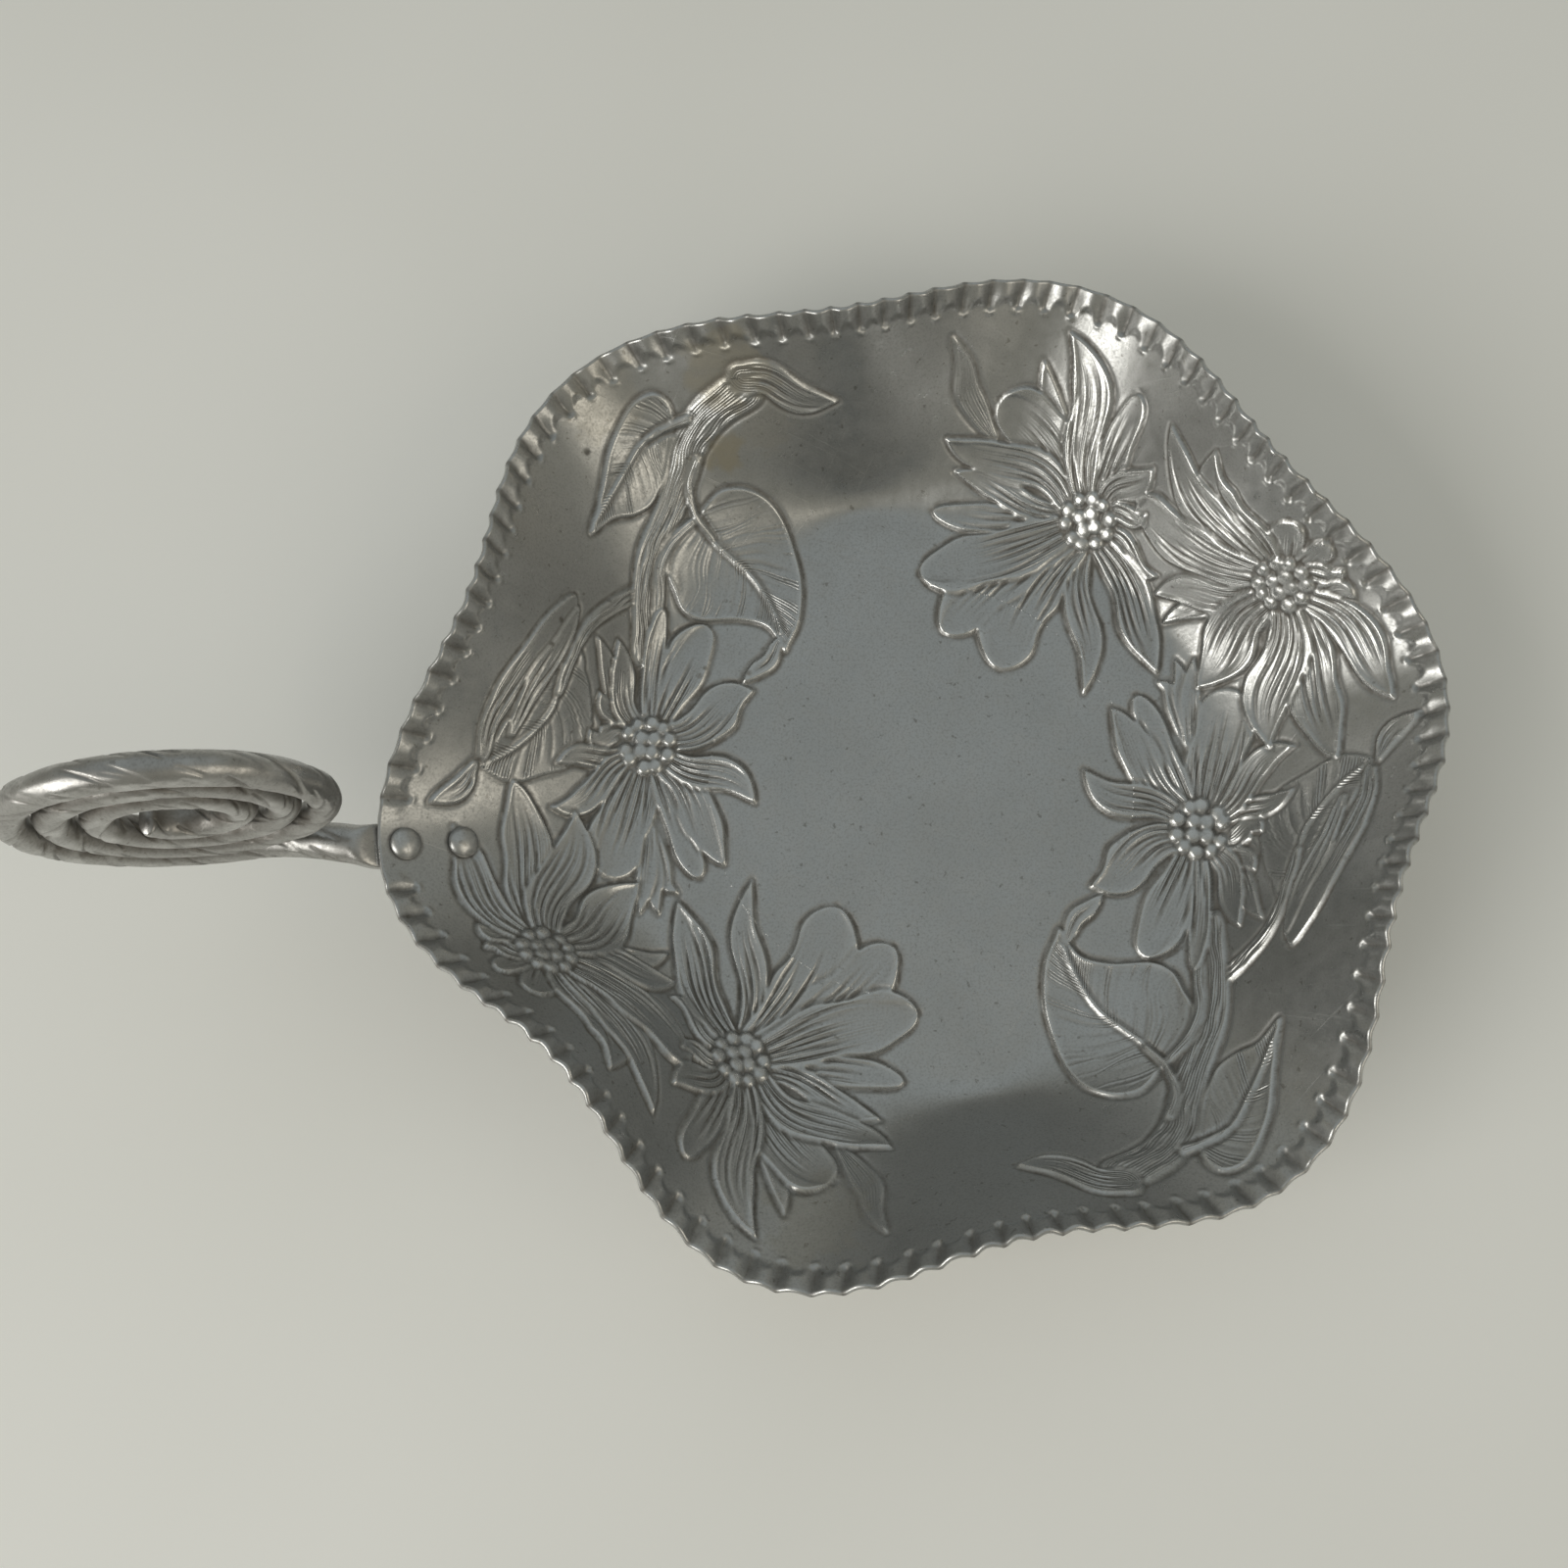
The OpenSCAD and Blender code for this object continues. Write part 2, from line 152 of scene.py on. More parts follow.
def rim_radius(a):
    return (
        rim_r
        + lobe_reach * lobe_wave(a)
        + rim_shift * wave(a - rim_shift_dir)
        + oval * wave(2 * (a - oval_dir))
        + three_way * wave(3 * (a - three_way_dir))
        + uneven * wave((lobes - 1) * (a - uneven_dir))
    )


def wall_slope(a):
    return (rim_h - lobe_drop * lobe_wave(a)) / (rim_radius(a) - knee_r)


def wall_height(a, r):
    w = mix(bend_valley, bend_lobe, (1 + lobe_wave(a)) / 2)
    x = np.clip((r - knee_r + w) / (2 * w), 0, 1)
    return wall_slope(a) * (2 * w * (x**3 - x**4 / 2) + np.maximum(0, r - knee_r - w))


def middle(a, r):
    flat = np.stack([r * wave(a), r * wave(a - 90)], -1)
    return np.concatenate([flat, (sheet_t / 2 + wall_height(a, r))[..., None]], -1)


def run_lengths(a, steps=400):
    """Radii up each direction, and the length along the sheet from the centre to each of them."""
    r = np.linspace(0, 1, steps + 1)[:, None] * rim_radius(a)[None, :]
    step = np.hypot(np.diff(r, axis=0), np.diff(wall_height(a[None, :], r), axis=0))
    return r, np.concatenate([np.zeros((1, len(a))), np.cumsum(step, axis=0)])


# The relief, drawn on the flat blank before its wall was bent up.
BLANK_HALF = 128
BLANK_CELL = 0.25
STEP_UP = 0.45
MOAT = 0.26
MOAT_MOST = 0.3
MOAT_OUT = 0.6
MOAT_WIDE = 0.5
LIP = 0.1
LIP_IN = 0.42
LIP_WIDE = 0.3
DISH = 0.045
DISH_WIDEST = 12
RIPPLE = 0.1
TILT = 0.16
FOLD = 0.25
FOLD_FROM = 0.55
FOOT_SHARE = 0.6
HATCH_OFF = 1.3
HATCH_FADE = 0.9
HATCH_IN = 0.4
HATCH_RISE = 0.8
LINE_GAP = 0.75
LINE_SPREAD = 0.86
LINE_WIDE = 0.34
LINE_REACH = (0.5, 0.95)
LINE_DEEP = (0.34, 0.62)
LINE_CUT_MOST = 0.55
LINE_RAISED_MOST = 0.26
RIB = 0.45
VEIN = 0.3
VEIN_REACH = 12
PETAL_FOOT = 4.6
PETAL_POINTS = 28
PETAL_SWAY = (0.8, 2.0)
HEART_R = 7.1
HEART_FLOOR = 0.05
BEAD_TOP = 1.1
BARK = 0.38
WINDOW_MARGIN = 3


class Blank:
    """Fields on the flat blank, [row along Y, column along X].

    height is the relief, strand the phase of fine engraved lines, and hatch their strength.
    """

    def __init__(self):
        self.line = np.arange(-BLANK_HALF, BLANK_HALF + BLANK_CELL / 2, BLANK_CELL)
        self.height, self.strand, self.hatch = np.zeros((3, len(self.line), len(self.line)))

    def window(self, spine, margin):
        """The fields near a line of points, as views, and their places."""
        lo = np.searchsorted(self.line, spine.min(0) - margin)
        hi = np.searchsorted(self.line, spine.max(0) + margin)
        x, y = np.meshgrid(self.line[lo[0] : hi[0]], self.line[lo[1] : hi[1]])
        near = slice(lo[1], hi[1]), slice(lo[0], hi[0])
        return (self.height[near], self.strand[near], self.hatch[near]), x, y


def look_up(field, x, y):
    """Values of a field on the blank at any places, between its cells."""
    i = np.clip((x + BLANK_HALF) / BLANK_CELL, 0, field.shape[1] - 1.001)
    j = np.clip((y + BLANK_HALF) / BLANK_CELL, 0, field.shape[0] - 1.001)
    i0, j0 = i.astype(int), j.astype(int)
    u, v = i - i0, j - j0
    low = mix(field[j0, i0], field[j0, i0 + 1], u)
    high = mix(field[j0 + 1, i0], field[j0 + 1, i0 + 1], u)
    return mix(low, high, v)


def curve(points, steps=10):
    """A smooth line through a few points."""
    p = np.asarray(points, float)
    p = np.concatenate([[2 * p[0] - p[1]], p, [2 * p[-1] - p[-2]]])
    t = np.linspace(0, 1, steps, endpoint=False)[:, None]
    parts = []
    for a, b, c, d in zip(p, p[1:], p[2:], p[3:]):
        square = 2 * a - 5 * b + 4 * c - d
        cube = 3 * b - a - 3 * c + d
        parts.append(0.5 * (2 * b + (c - a) * t + square * t**2 + cube * t**3))
    return np.concatenate(parts + [p[-2:-1]])


def along(x, y, spine):
    """Each place's share of the way along a line, its distance to the left, and the line's length."""
    runs = np.diff(spine, axis=0)
    lengths = np.hypot(runs[:, 0], runs[:, 1])
    starts = np.concatenate([[0], np.cumsum(lengths)])
    best, place, side = np.full(x.shape, np.inf), np.zeros(x.shape), np.ones(x.shape)
    for (px, py), (dx, dy), length, start in zip(spine, runs, lengths, starts):
        t = np.clip(((x - px) * dx + (y - py) * dy) / length**2, 0, 1)
        ex, ey = x - px - t * dx, y - py - t * dy
        far = ex * ex + ey * ey
        nearer = far < best
        best = np.where(nearer, far, best)
        place = np.where(nearer, start + t * length, place)
        side = np.where(nearer, np.where(dx * ey - dy * ex < 0, -1, 1), side)
    return place / starts[-1], side * np.sqrt(best), starts[-1]


def outline(t, peak, root, point):
    """Half width of a petal or leaf along its length.

    It is root at the foot and 1 at the widest place. point is the power of the tip, 0 for a round one.
    """
    foot = mix(root, 1, np.sin(np.clip(t / peak, 0, 1) * math.pi / 2))
    u = np.clip((t - peak) / (1 - peak), 0, 1)
    return foot * np.sqrt(1 - u**3) if point == 0 else foot * np.cos(u * math.pi / 2) ** point


def press(part, body, edge, strand=0, hatch=0):
    """Set a raised form into the fields: a shallow moat cut round it, then the form inside its edge."""
    height, lines, strength = part
    cut = height - MOAT * hump(edge, -MOAT_OUT, MOAT_WIDE)
    np.maximum(cut, np.minimum(height, -MOAT_MOST), out=height)
    height += (body - height) * ramp((edge + STEP_UP / 2) / STEP_UP)
    np.copyto(lines, strand, where=edge > 0)
    strength *= 1 - ramp((edge + HATCH_OFF) / HATCH_FADE)
    strength += hatch * ramp((edge - HATCH_IN) / HATCH_RISE)


def blade(blank, spine, left, right, height, peak=0.55, root=0.4, point=0.8, lines=0, veins=0, fold=0):
    """A raised, dished and lipped petal or leaf along a line, with lines or veins and a folded edge."""
    part, x, y = blank.window(spine, max(left, right) + WINDOW_MARGIN)
    t, d, length = along(x, y, spine)
    wide = np.where(d > 0, left, right) * outline(t, peak, root, point)
    ripple = 1 + RIPPLE * np.sin(t * length / 3 + left * 7 + np.where(d > 0, 0, 2)) * ramp(t * 3)
    edge = wide * ripple - np.abs(d)
    across = np.clip(d / np.maximum(wide, 0.1), -1, 1)
    dish = DISH * min(left + right, DISH_WIDEST) / 2
    body = height * mix(FOOT_SHARE, 1, t) - dish * (1 - across**2) * ramp(edge / 1.5)
    seed = 13 * left + 5 * length
    lip = LIP * (0.5 + noise(t * length / 4 + seed, across + seed))
    body = body + np.maximum(0.02, lip) * hump(edge, LIP_IN, LIP_WIDE)
    strand = across * (left + right) / 2 / LINE_GAP
    hatch = ramp((0.9 - t) / 0.6) * ramp(0.5 + noise(t * length / 9 + seed, strand * 0.7))
    if lines:
        body = body - petal_lines(t, d, wide, length, lines)
    if veins:
        raised, strand = leaf_veins(t, d, edge, length, veins, 0.5, 0.8)
        body, hatch = body + raised, ramp(0.35 + 1.3 * noise(strand * 0.8 + 60, np.abs(d) / 7))
    if fold:
        body = body + TILT * fold * across * ramp(t * 3)
        turned = ramp((across * fold - FOLD_FROM) / 0.12) * ramp((t - 0.35) / 0.3)
        body = body + FOLD * turned * (0.5 + 0.5 * noise(t * length / 6 + seed, 7 + 0 * t))
    press(part, body, edge, strand, hatch)


def petal_lines(t, d, wide, length, count):
    """Grooves of uneven length with raised sides that run up a petal from its foot."""
    cut = np.zeros(t.shape)
    spread = wide * mix(0.8, 1, ramp(t * 2))
    for k in range(count):
        place = mix(-LINE_SPREAD, LINE_SPREAD, (k + 0.5) / count) + rng.uniform(-0.06, 0.06)
        reach = rng.uniform(*LINE_REACH)
        fade = ramp((reach - t) / 0.35) * ramp((t * length - 1) / 3)
        off = d - place * spread + 0.25 * np.sin(t * length / 4 + 9 * place)
        groove = hump(off, 0, LINE_WIDE) - 0.45 * hump(np.abs(off), 0.7, 0.32)
        cut = cut + fade * groove * rng.uniform(*LINE_DEEP)
    return np.clip(cut, -LINE_RAISED_MOST, LINE_CUT_MOST)


def leaf_veins(t, d, edge, length, spacing, lean, fan_out):
    """A raised midrib with broken veins fanning out from it, and the phase of fine lines between them."""
    rib = RIB * hump(d, 0, 0.5) - 0.2 * hump(np.abs(d), 1.2, 0.5)
    start = (t * length - lean * np.abs(d)) / (1 + fan_out * np.abs(d) / length)
    slant = start / spacing + 0.2 * noise(t * length / 6, d / 6)
    row = np.floor(slant + 0.5) + np.where(d > 0, 0, 31)
    strong = 0.5 + 0.5 * noise(row * 0.73, row * 0.31)
    share = mix(0.4, 1.2, 0.5 + 0.5 * noise(row * 0.41 + 9, row * 0.67))
    reach = ramp((share * VEIN_REACH - np.abs(d)) / 4)
    vein = hump((slant + 0.5) % 1 - 0.5, 0, 0.14) * strong * reach
    inside = ramp((np.abs(d) - 0.8) / 1.2) * ramp((edge - 0.8) / 1.5)
    return rib * ramp((1 - t) * 8) - inside * VEIN * vein, slant * spacing / (1.2 * LINE_GAP)


def within(x, y, line):
    """Whether each place lies inside a closed line."""
    odd = np.zeros(x.shape, bool)
    for (ax, ay), (bx, by) in zip(line, line[1:]):
        if ay != by:
            odd ^= ((ay > y) != (by > y)) & (x < ax + (y - ay) * (bx - ax) / (by - ay))
    return odd


def leaf(blank, rim, rib, height, spacing, lean, fan_out):
    """A flat leaf inside a closed rim, with a bright lip, a midrib and fanned veins."""
    line = curve(rim + rim[:1])
    part, x, y = blank.window(line, WINDOW_MARGIN)
    _, far, _ = along(x, y, line)
    edge = np.where(within(x, y, line), np.abs(far), -np.abs(far))
    t, d, length = along(x, y, curve(rib))
    raised, strand = leaf_veins(t, d, edge, length, spacing, lean, fan_out)
    lip = LIP * (2 + 1.5 * noise(x / 6, y / 6))
    body = height - 0.12 * ramp(edge / 3) + lip * hump(edge, 0.45, 0.35) + raised
    hatch = ramp(0.35 + 1.3 * noise(strand * 0.8 + 60, np.abs(d) / 7))
    press(part, body, edge, strand, hatch)


def petal(blank, centre, direction, length, width, bow=0, sway=0, point=0.8, lines=5, height=0.75):
    """A petal of a flower: bow and sway bend its line once or twice to the left."""
    t = np.linspace(0, 1, PETAL_POINTS)[:, None]
    out = np.array([wave(direction), wave(direction - 90)])
    left = np.array([-out[1], out[0]])
    if point and not sway:
        sway = rng.choice([-1, 1]) * rng.uniform(*PETAL_SWAY)
    side = bow * np.sin(math.pi * t) + sway * np.sin(2 * math.pi * t)
    spine = np.asarray(centre) + out * mix(PETAL_FOOT, length, t) + left * side
    fold = rng.choice([-1, 1]) if lines > 3 else 0
    blade(blank, spine, width / 2, width / 2, height, root=0.5, point=point, lines=lines, fold=fold)


# Rings of beads in a flower's middle: how many, how far out as a share of the middle's radius,
# and how large.
bead_rings = [(10, 0.78, 2.0), (4, 0.31, 2.2)]


def bead_heart(blank, centre):
    """The flower's middle: a ring cut round a cluster of beads."""
    (part, _, hatch), x, y = blank.window(np.array([centre, centre]), HEART_R + 4)
    far = np.hypot(x - centre[0], y - centre[1])
    part += (HEART_FLOOR - part) * ramp((HEART_R + 0.7 - far) / 0.8)
    hatch *= ramp(far - HEART_R)
    top = np.zeros(far.shape)
    for count, out, size in bead_rings:
        first = rng.uniform(0, 360)
        for k in range(count):
            turn = first + 360 * k / count + rng.uniform(-7, 7)
            bx = centre[0] + HEART_R * out * wave(turn)
            by = centre[1] + HEART_R * out * wave(turn - 90)
            bead = size + rng.uniform(-0.18, 0.16)
            near = ((x - bx) ** 2 + (y - by) ** 2) / bead**2
            dome = BEAD_TOP + 0.3 * (1 - out) - 0.3 * near - 0.75 * near**3
            top = np.maximum(top, np.where(near < 1, dome, 0))
    np.maximum(part, top, out=part, where=top > 0)


def stem(blank, points, wide_a, wide_b, height=0.75):
    """A bark-covered stem between two edge lines."""
    spine = curve(points)
    part, x, y = blank.window(spine, max(wide_a, wide_b) + WINDOW_MARGIN)
    t, d, length = along(x, y, spine)
    edge = mix(wide_a, wide_b, t) - np.abs(d)
    fibre = d * 1.9 + 0.9 * noise(t * length / 6, d / 3 + 5)
    bark = noise(t * length / 6, fibre) + 0.6 * noise(t * length / 3 + 40, fibre * 1.6)
    crown = 1 - 0.5 * (np.abs(d) / mix(wide_a, wide_b, t)) ** 2
    body = height * crown + BARK * bark * ramp(edge / 0.8)
    press(part, body, edge, fibre * 0.8, 0.8)


# Flowers: where the middle is, and each petal from the back one to the front one as
# (direction, length, width, bow, sway, tip's power with 0 for a round tip, number of lines).
flower_a = (42.5, 65)
petals_a = [
    (63, 33, 8, 0, 0, 0, 3),
    (104, 40, 6, 0, 0, 0.7, 2),
    (174, 38, 7, 1, 0, 0, 3),
    (157, 35, 7, 1, 0, 0.8, 3),
    (124, 37, 15, -3, 0, 0, 7),
    (147, 41, 9.5, -3, 0, 0.8, 4),
    (34, 23, 7.5, 1, 0, 0.9, 3),
    (7, 16.5, 5, 0, 0, 0.9, 2),
    (321, 22, 5.5, 0, 0, 0.9, 2),
    (266, 43, 7, -1, 0, 0.9, 4),
    (238, 43, 15, -4, 0, 0, 7),
    (217, 45, 13, -3, 0, 0, 6),
    (196, 43, 13.5, 1.5, 0, 0, 6),
    (291, 41, 10, 2, 1, 0.9, 5),
    (94, 45, 10, -3, 2, 0.9, 6),
]
flower_b = (91.5, 45.5)
petals_b = [
    (68, 17, 9, 0, 0, 0, 2),
    (30, 15.5, 6, 0, 0, 0, 2),
    (3, 14.5, 5, 0, 0, 0.8, 2),
    (336, 16.5, 5.5, 0, 0, 0.8, 2),
    (106, 38, 12, 3, -2, 0.8, 5),
    (191, 33, 6, -1, 0, 0.8, 3),
    (120, 49, 10.5, 2, 0, 0.9, 6),
    (178, 34, 8.5, 1, 0, 0.9, 4),
    (144, 43, 12.5, 2, 0, 0, 6),
    (280, 45, 12, -2, 1, 0.7, 5),
    (303, 38, 9.5, 3, 0, 0.9, 5),
    (222, 34, 13, -2, 0, 0.9, 5),
    (257, 40, 12, -1, 2, 0.9, 6),
]
flower_c = (65, -11)
petals_c = [
    (74, 34, 14, 0, 0, 0, 5),
    (112, 35, 6.5, 0, 0, 0, 2),
    (303, 31, 5.5, 1.5, 1, 0.8, 3),
    (350, 16, 6, 0, 0, 0.8, 2),
    (319, 19, 5.5, 0, 0, 0.8, 2),
    (15, 24.5, 5.5, 0, 1, 0.9, 2),
    (123, 35, 9, 2, 0, 0.7, 5),
    (36, 29, 7, 2, -1.5, 0.9, 3),
    (244, 33, 11, 1, 0, 0, 4),
    (291, 27.5, 7.5, 2, 1, 0.8, 4),
    (265, 34, 5.5, 1, 0, 0, 4),
    (151, 30, 8, 1.5, -1.5, 0.9, 4),
    (207, 29, 11, -1, 0, 0.9, 5),
]
BACK_HEIGHT = 0.6
FRONT_LIFT = 0.3


def flower(blank, centre, petals):
    for k, (direction, length, width, bow, sway, point, lines) in enumerate(petals):
        height = BACK_HEIGHT + FRONT_LIFT * k / len(petals)
        petal(blank, centre, direction, length, width, bow, sway, point, lines, height)
    bead_heart(blank, centre)


# Flat leaves of a spray: the rim, then the midrib from its foot to its tip.
heart_rim = [(54, -67), (51, -71.5), (47.5, -74.5), (42, -75), (36.5, -72.5), (32.5, -67.5), (29.5, -60)]
heart_rim += [(27.5, -51), (28, -42), (30.5, -36), (32, -34), (36, -40), (43, -42), (52, -42)]
heart_rim += [(57, -44.5), (59.5, -49.5), (61.5, -54), (60.5, -59), (57.5, -63)]
heart_rib = [(54, -68), (49.5, -61.5), (45, -57.5), (40, -53), (36, -47), (33, -40), (32, -35)]
small_rim = [(60.5, -88.5), (61, -82), (62.5, -76), (65.5, -70), (70, -67), (76, -65.5), (82.5, -61.5)]
small_rim += [(80, -69), (78.5, -75), (77, -81.5), (74, -88.5), (70.5, -94), (66, -96.5), (62.5, -95)]
small_rim += [(61, -92)]
small_rib = [(60.5, -89), (65, -87), (69, -83.5), (72, -78.5), (76, -72), (82, -63)]

# Lines of a spray's stems, and of its leaves that have no drawn rim, from foot to tip.
trunk = [(67.5, -33), (67.7, -45), (67.2, -52), (65.5, -59), (62.5, -65), (60, -71), (58, -78)]
trunk += [(56.5, -85), (52, -93), (45, -100)]
trunk_end = [(45, -103.5), (39, -104.5), (30, -101), (21, -101.5)]
branch = [(66.5, -49), (76, -45), (84, -40), (89.5, -32), (92, -22)]
heart_stalk = [(63.5, -42), (63, -53), (61.5, -59), (58, -63.5), (54.5, -66.5)]
heart_twig = [(54.8, -81), (56.3, -75), (54.5, -68), (50, -62.5)]
heart_tip = [(33.5, -36), (35.5, -31.5), (38.5, -29), (42, -26)]
small_stalk = [(57.5, -91), (63, -88.2), (67, -85.5)]
broad_leaf = [(92, -29), (93, -17), (100, -7), (108, -1)]
lone_leaf = [(20, 86), (14, 97), (13, 105), (10, 113)]
pod_outer = [(108, -4), (108.5, -14), (104, -28), (96, -39), (89, -46.5)]
pod_inner = [(102, -10), (100, -22), (95, -32), (88, -44)]
pod_leaf = [(109.5, -1), (112, 4.5), (118.5, 9)]
bract_foot = (64, 8)
bract_aim = (64, 18)
bract_tips = [(57, 25), (61.5, 30), (66, 30)]


def leaves(blank):
    """The stems and leaves of one spray, from the back to the front."""
    blade(blank, curve(broad_leaf), 13, 8, height=0.35, peak=0.45, root=0.5, veins=3.2)
    blade(blank, curve(lone_leaf), 3, 3, height=0.45, peak=0.4, root=0.3)
    stem(blank, branch, 2.2, 1.2, height=0.6)
    leaf(blank, heart_rim, heart_rib, height=0.6, spacing=2.6, lean=0.25, fan_out=2.2)
    blade(blank, curve(heart_tip), 2, 2.4, height=0.85, peak=0.45, root=0.5, lines=1)
    leaf(blank, small_rim, small_rib, height=0.6, spacing=2.2, lean=0.7, fan_out=0.6)
    stem(blank, trunk, 2.4, 5)
    blade(blank, curve(trunk_end), 4.6, 4.6, height=0.75, peak=0.4, root=0.85, point=0.9, lines=4)
    stem(blank, heart_stalk, 1.8, 1.1, height=0.95)
    stem(blank, heart_twig, 1.3, 0.7, height=0.95)
    stem(blank, small_stalk, 1.2, 0.7, height=0.9)
    blade(blank, curve(pod_outer), 3, 4, height=0.65, peak=0.6, point=0, lines=2)
    blade(blank, curve(pod_inner), 3, 3, height=0.7, peak=0.5, root=0.3, point=0.7, lines=2)
    blade(blank, curve(pod_leaf), 2.6, 2.6, height=0.7, peak=0.5, lines=2)
    for tip in bract_tips:
        bend = mix(np.array(bract_aim), np.array(tip), 0.5)
        blade(blank, curve([bract_foot, bend, tip]), 2.4, 2.4, height=0.55, lines=2)


def relief():
    """One spray and the same one turned half round."""
    blank = Blank()
    leaves(blank)
    flower(blank, flower_c, petals_c)
    flower(blank, flower_b, petals_b)
    flower(blank, flower_a, petals_a)
    heights, strand, hatch = [f + f[::-1, ::-1] for f in (blank.height, blank.strand, blank.hatch)]
    return blur(heights, 0.65), strand, hatch


# Meshes.
def rings_to_quads(first, second, n):
    """Quads between two rings of n points each, the second further out, facing up."""
    j = np.arange(n)
    k = (j + 1) % n
    return np.stack([first + j, second + j, second + k, first + k], -1)


def strip(first, rows, n):
    """Quads between rows of n points each that follow one another."""
    return [rings_to_quads(first + k * n, first + (k + 1) * n, n) for k in range(rows - 1)]


def flipped(faces):
    """The same faces, facing the other way."""
    return [f[:, ::-1] for f in faces]


def ring_to_fine(first, second, n, m):
    """Triangles between a ring of n points and a ring of n * m points further out, facing up."""
    j = np.arange(n * m)
    k = (j + 1) % (n * m)
    near = first + ((j + m // 2) // m) % n
    after = first + ((k + m // 2) // m) % n
    tris = np.stack([near, second + j, second + k], -1)
    fill = np.stack([near, second + k, after], -1)
    return np.concatenate([tris, fill[near != after]])


def fan(centre, first, n):
    """Triangles from one point to a ring of n points."""
    j = np.arange(n)
    return np.stack([np.full(n, centre), first + j, first + (j + 1) % n], -1)


def mesh_object(name, points, faces, material, layers):
    """A smooth mesh from points in millimetres and groups of faces, with named values on its points."""
    mesh = bpy.data.meshes.new(name)
    mesh.from_pydata((points * MM).tolist(), [], [f for group in faces for f in group.tolist()])
    mesh.polygons.foreach_set("use_smooth", np.ones(len(mesh.polygons), bool))
    for layer, values in layers.items():
        attribute = mesh.attributes.new(layer, "FLOAT", "POINT")
        attribute.data.foreach_set("value", values.astype(np.float32))
    mesh.materials.append(material)
    mesh.update()
    piece = bpy.data.objects.new(name, mesh)
    bpy.context.scene.collection.objects.link(piece)
    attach(piece, "root")
    return piece


# The tray's mesh: fine inside, where the relief shows, and coarser outside.
CRIMP_COLUMNS = 12
COARSER = 2
BASE_ROWS = 54
WALL_ROWS = 205
CRIMP_ROWS = 24
DISC_ROWS = 6
UNDER_ROWS = 62
plain_s = 32
base_s = 50
crimp_run = 8
EDGE_ROUND = 0.3
DENT = 0.12
DENT_RUN = 17
SMALL_DENT = 0.05
SMALL_DENT_RUN = 6
# Hollows near the flowers' middles get more of the patina and painted shade, out to this radius and over
# this fade.
HEART_DARKER_R = 22
HEART_DARKER_FADE = 12
HOLLOW_CELLS = 4
HOLLOW_FULL = 0.3
UNDER_SHARE = 0.75

# The crimps: pads between narrow grooves, with a small knob at each groove's lower end.
CRIMP_MORE = 1.1
CRIMP_EDGE = 3.5
CRIMP_EARLY = 0.8
PAD_POWER = 0.45
PAD_LEVEL = 0.55
PAD_LATE = 1.6
PAD_RISE = 2.4
GROOVE_FALL = 1.2
GROOVE_WIDE = 0.09
KNOB = 0.3
KNOB_WIDE = 0.1
RIM_EASE = 0.8
crimp_deep = rng.uniform(0.85, 1.15, crimps)
crimp_shift = rng.uniform(-0.05, 0.05, crimps)
crimp_slant = rng.uniform(-0.07, 0.07, crimps)


def crimp_field(a, up):
    """Lift of the crimps' pads over their grooves, and how deep in a groove each place is."""
    place = (a - handle_dir) * crimps / 360
    count = np.floor(place).astype(int) % crimps
    lean = crimp_shift[count] + crimp_slant[count] * (up / crimp_run - 0.5)
    off = np.minimum(np.abs(place - np.floor(place) - 0.5 - lean), 0.5)
    last = np.floor(place - 0.5).astype(int) % crimps
    past = place - 0.5 - np.floor(place - 0.5)
    deep = mix(crimp_deep[last], crimp_deep[(last + 1) % crimps], ramp(past))
    at_edge = ramp((up - crimp_run + CRIMP_EDGE) / CRIMP_EDGE)
    ridge = (np.sin(math.pi * off) ** 2 + mix(0.004, 0.12, at_edge)) ** PAD_POWER - PAD_LEVEL
    start = crimp_run - crimp_len - CRIMP_EARLY + PAD_LATE * np.minimum(1, off * 2.4) ** 2
    grow = np.where(ridge > 0, ramp((up - start) / PAD_RISE), ramp((up - start) / GROOVE_FALL))
    knob = KNOB * hump(off, 0, KNOB_WIDE) * hump(up, start - 0.3, 0.5)
    turn = np.abs((a - handle_dir + 540) % 360 - 180)
    off_tab = ramp((np.radians(turn) * rim_r - tab_w / 2) / (tab_w / 2))
    ease = mix(1, RIM_EASE, at_edge)
    lift = CRIMP_MORE * crimp_depth * deep * ridge * grow * ease + knob
    return lift * off_tab, hump(off, 0, GROOVE_WIDE) * grow * off_tab


def rivet_spots():
    """Places of the two rivets on the flat blank."""
    radii, lengths = run_lengths(np.array([handle_dir]))
    outer = float(np.interp(rivet_r, radii[:, 0], lengths[:, 0]))
    return [(s * wave(handle_dir), s * wave(handle_dir - 90)) for s in (outer, outer - rivet_pitch)]


def off_rivets(x, y, reach):
    """1 away from the rivets, down to 0 under their heads."""
    low = np.ones(x.shape)
    for rx, ry in rivet_spots():
        low = low * ramp((np.hypot(x - rx, y - ry) - head_d / 2) / reach)
    return low


# Stains on the flat blank: place, radius and strength; and dark pits: place and radius.
stains = [
    ((-48, 84), 6, 1.0),
    ((-49, 106), 12, 0.75),
    ((-38, 92), 9, 0.3),
    ((-24, -105), 14, 0.35),
    ((-80, 95), 12, 0.3),
]
pits = [((-82.5, 81), 0.8), ((-97, 33.5), 0.6), ((-94.5, 40), 0.7), ((-93.5, 45.5), 0.7)]
pits += [((-78, 46), 0.5), ((-40.5, 28.5), 0.6), ((-40, 31), 0.5), ((-37, 34.5), 0.6)]
pits += [((-52.5, 28), 0.6), ((-51, 30), 0.5)]


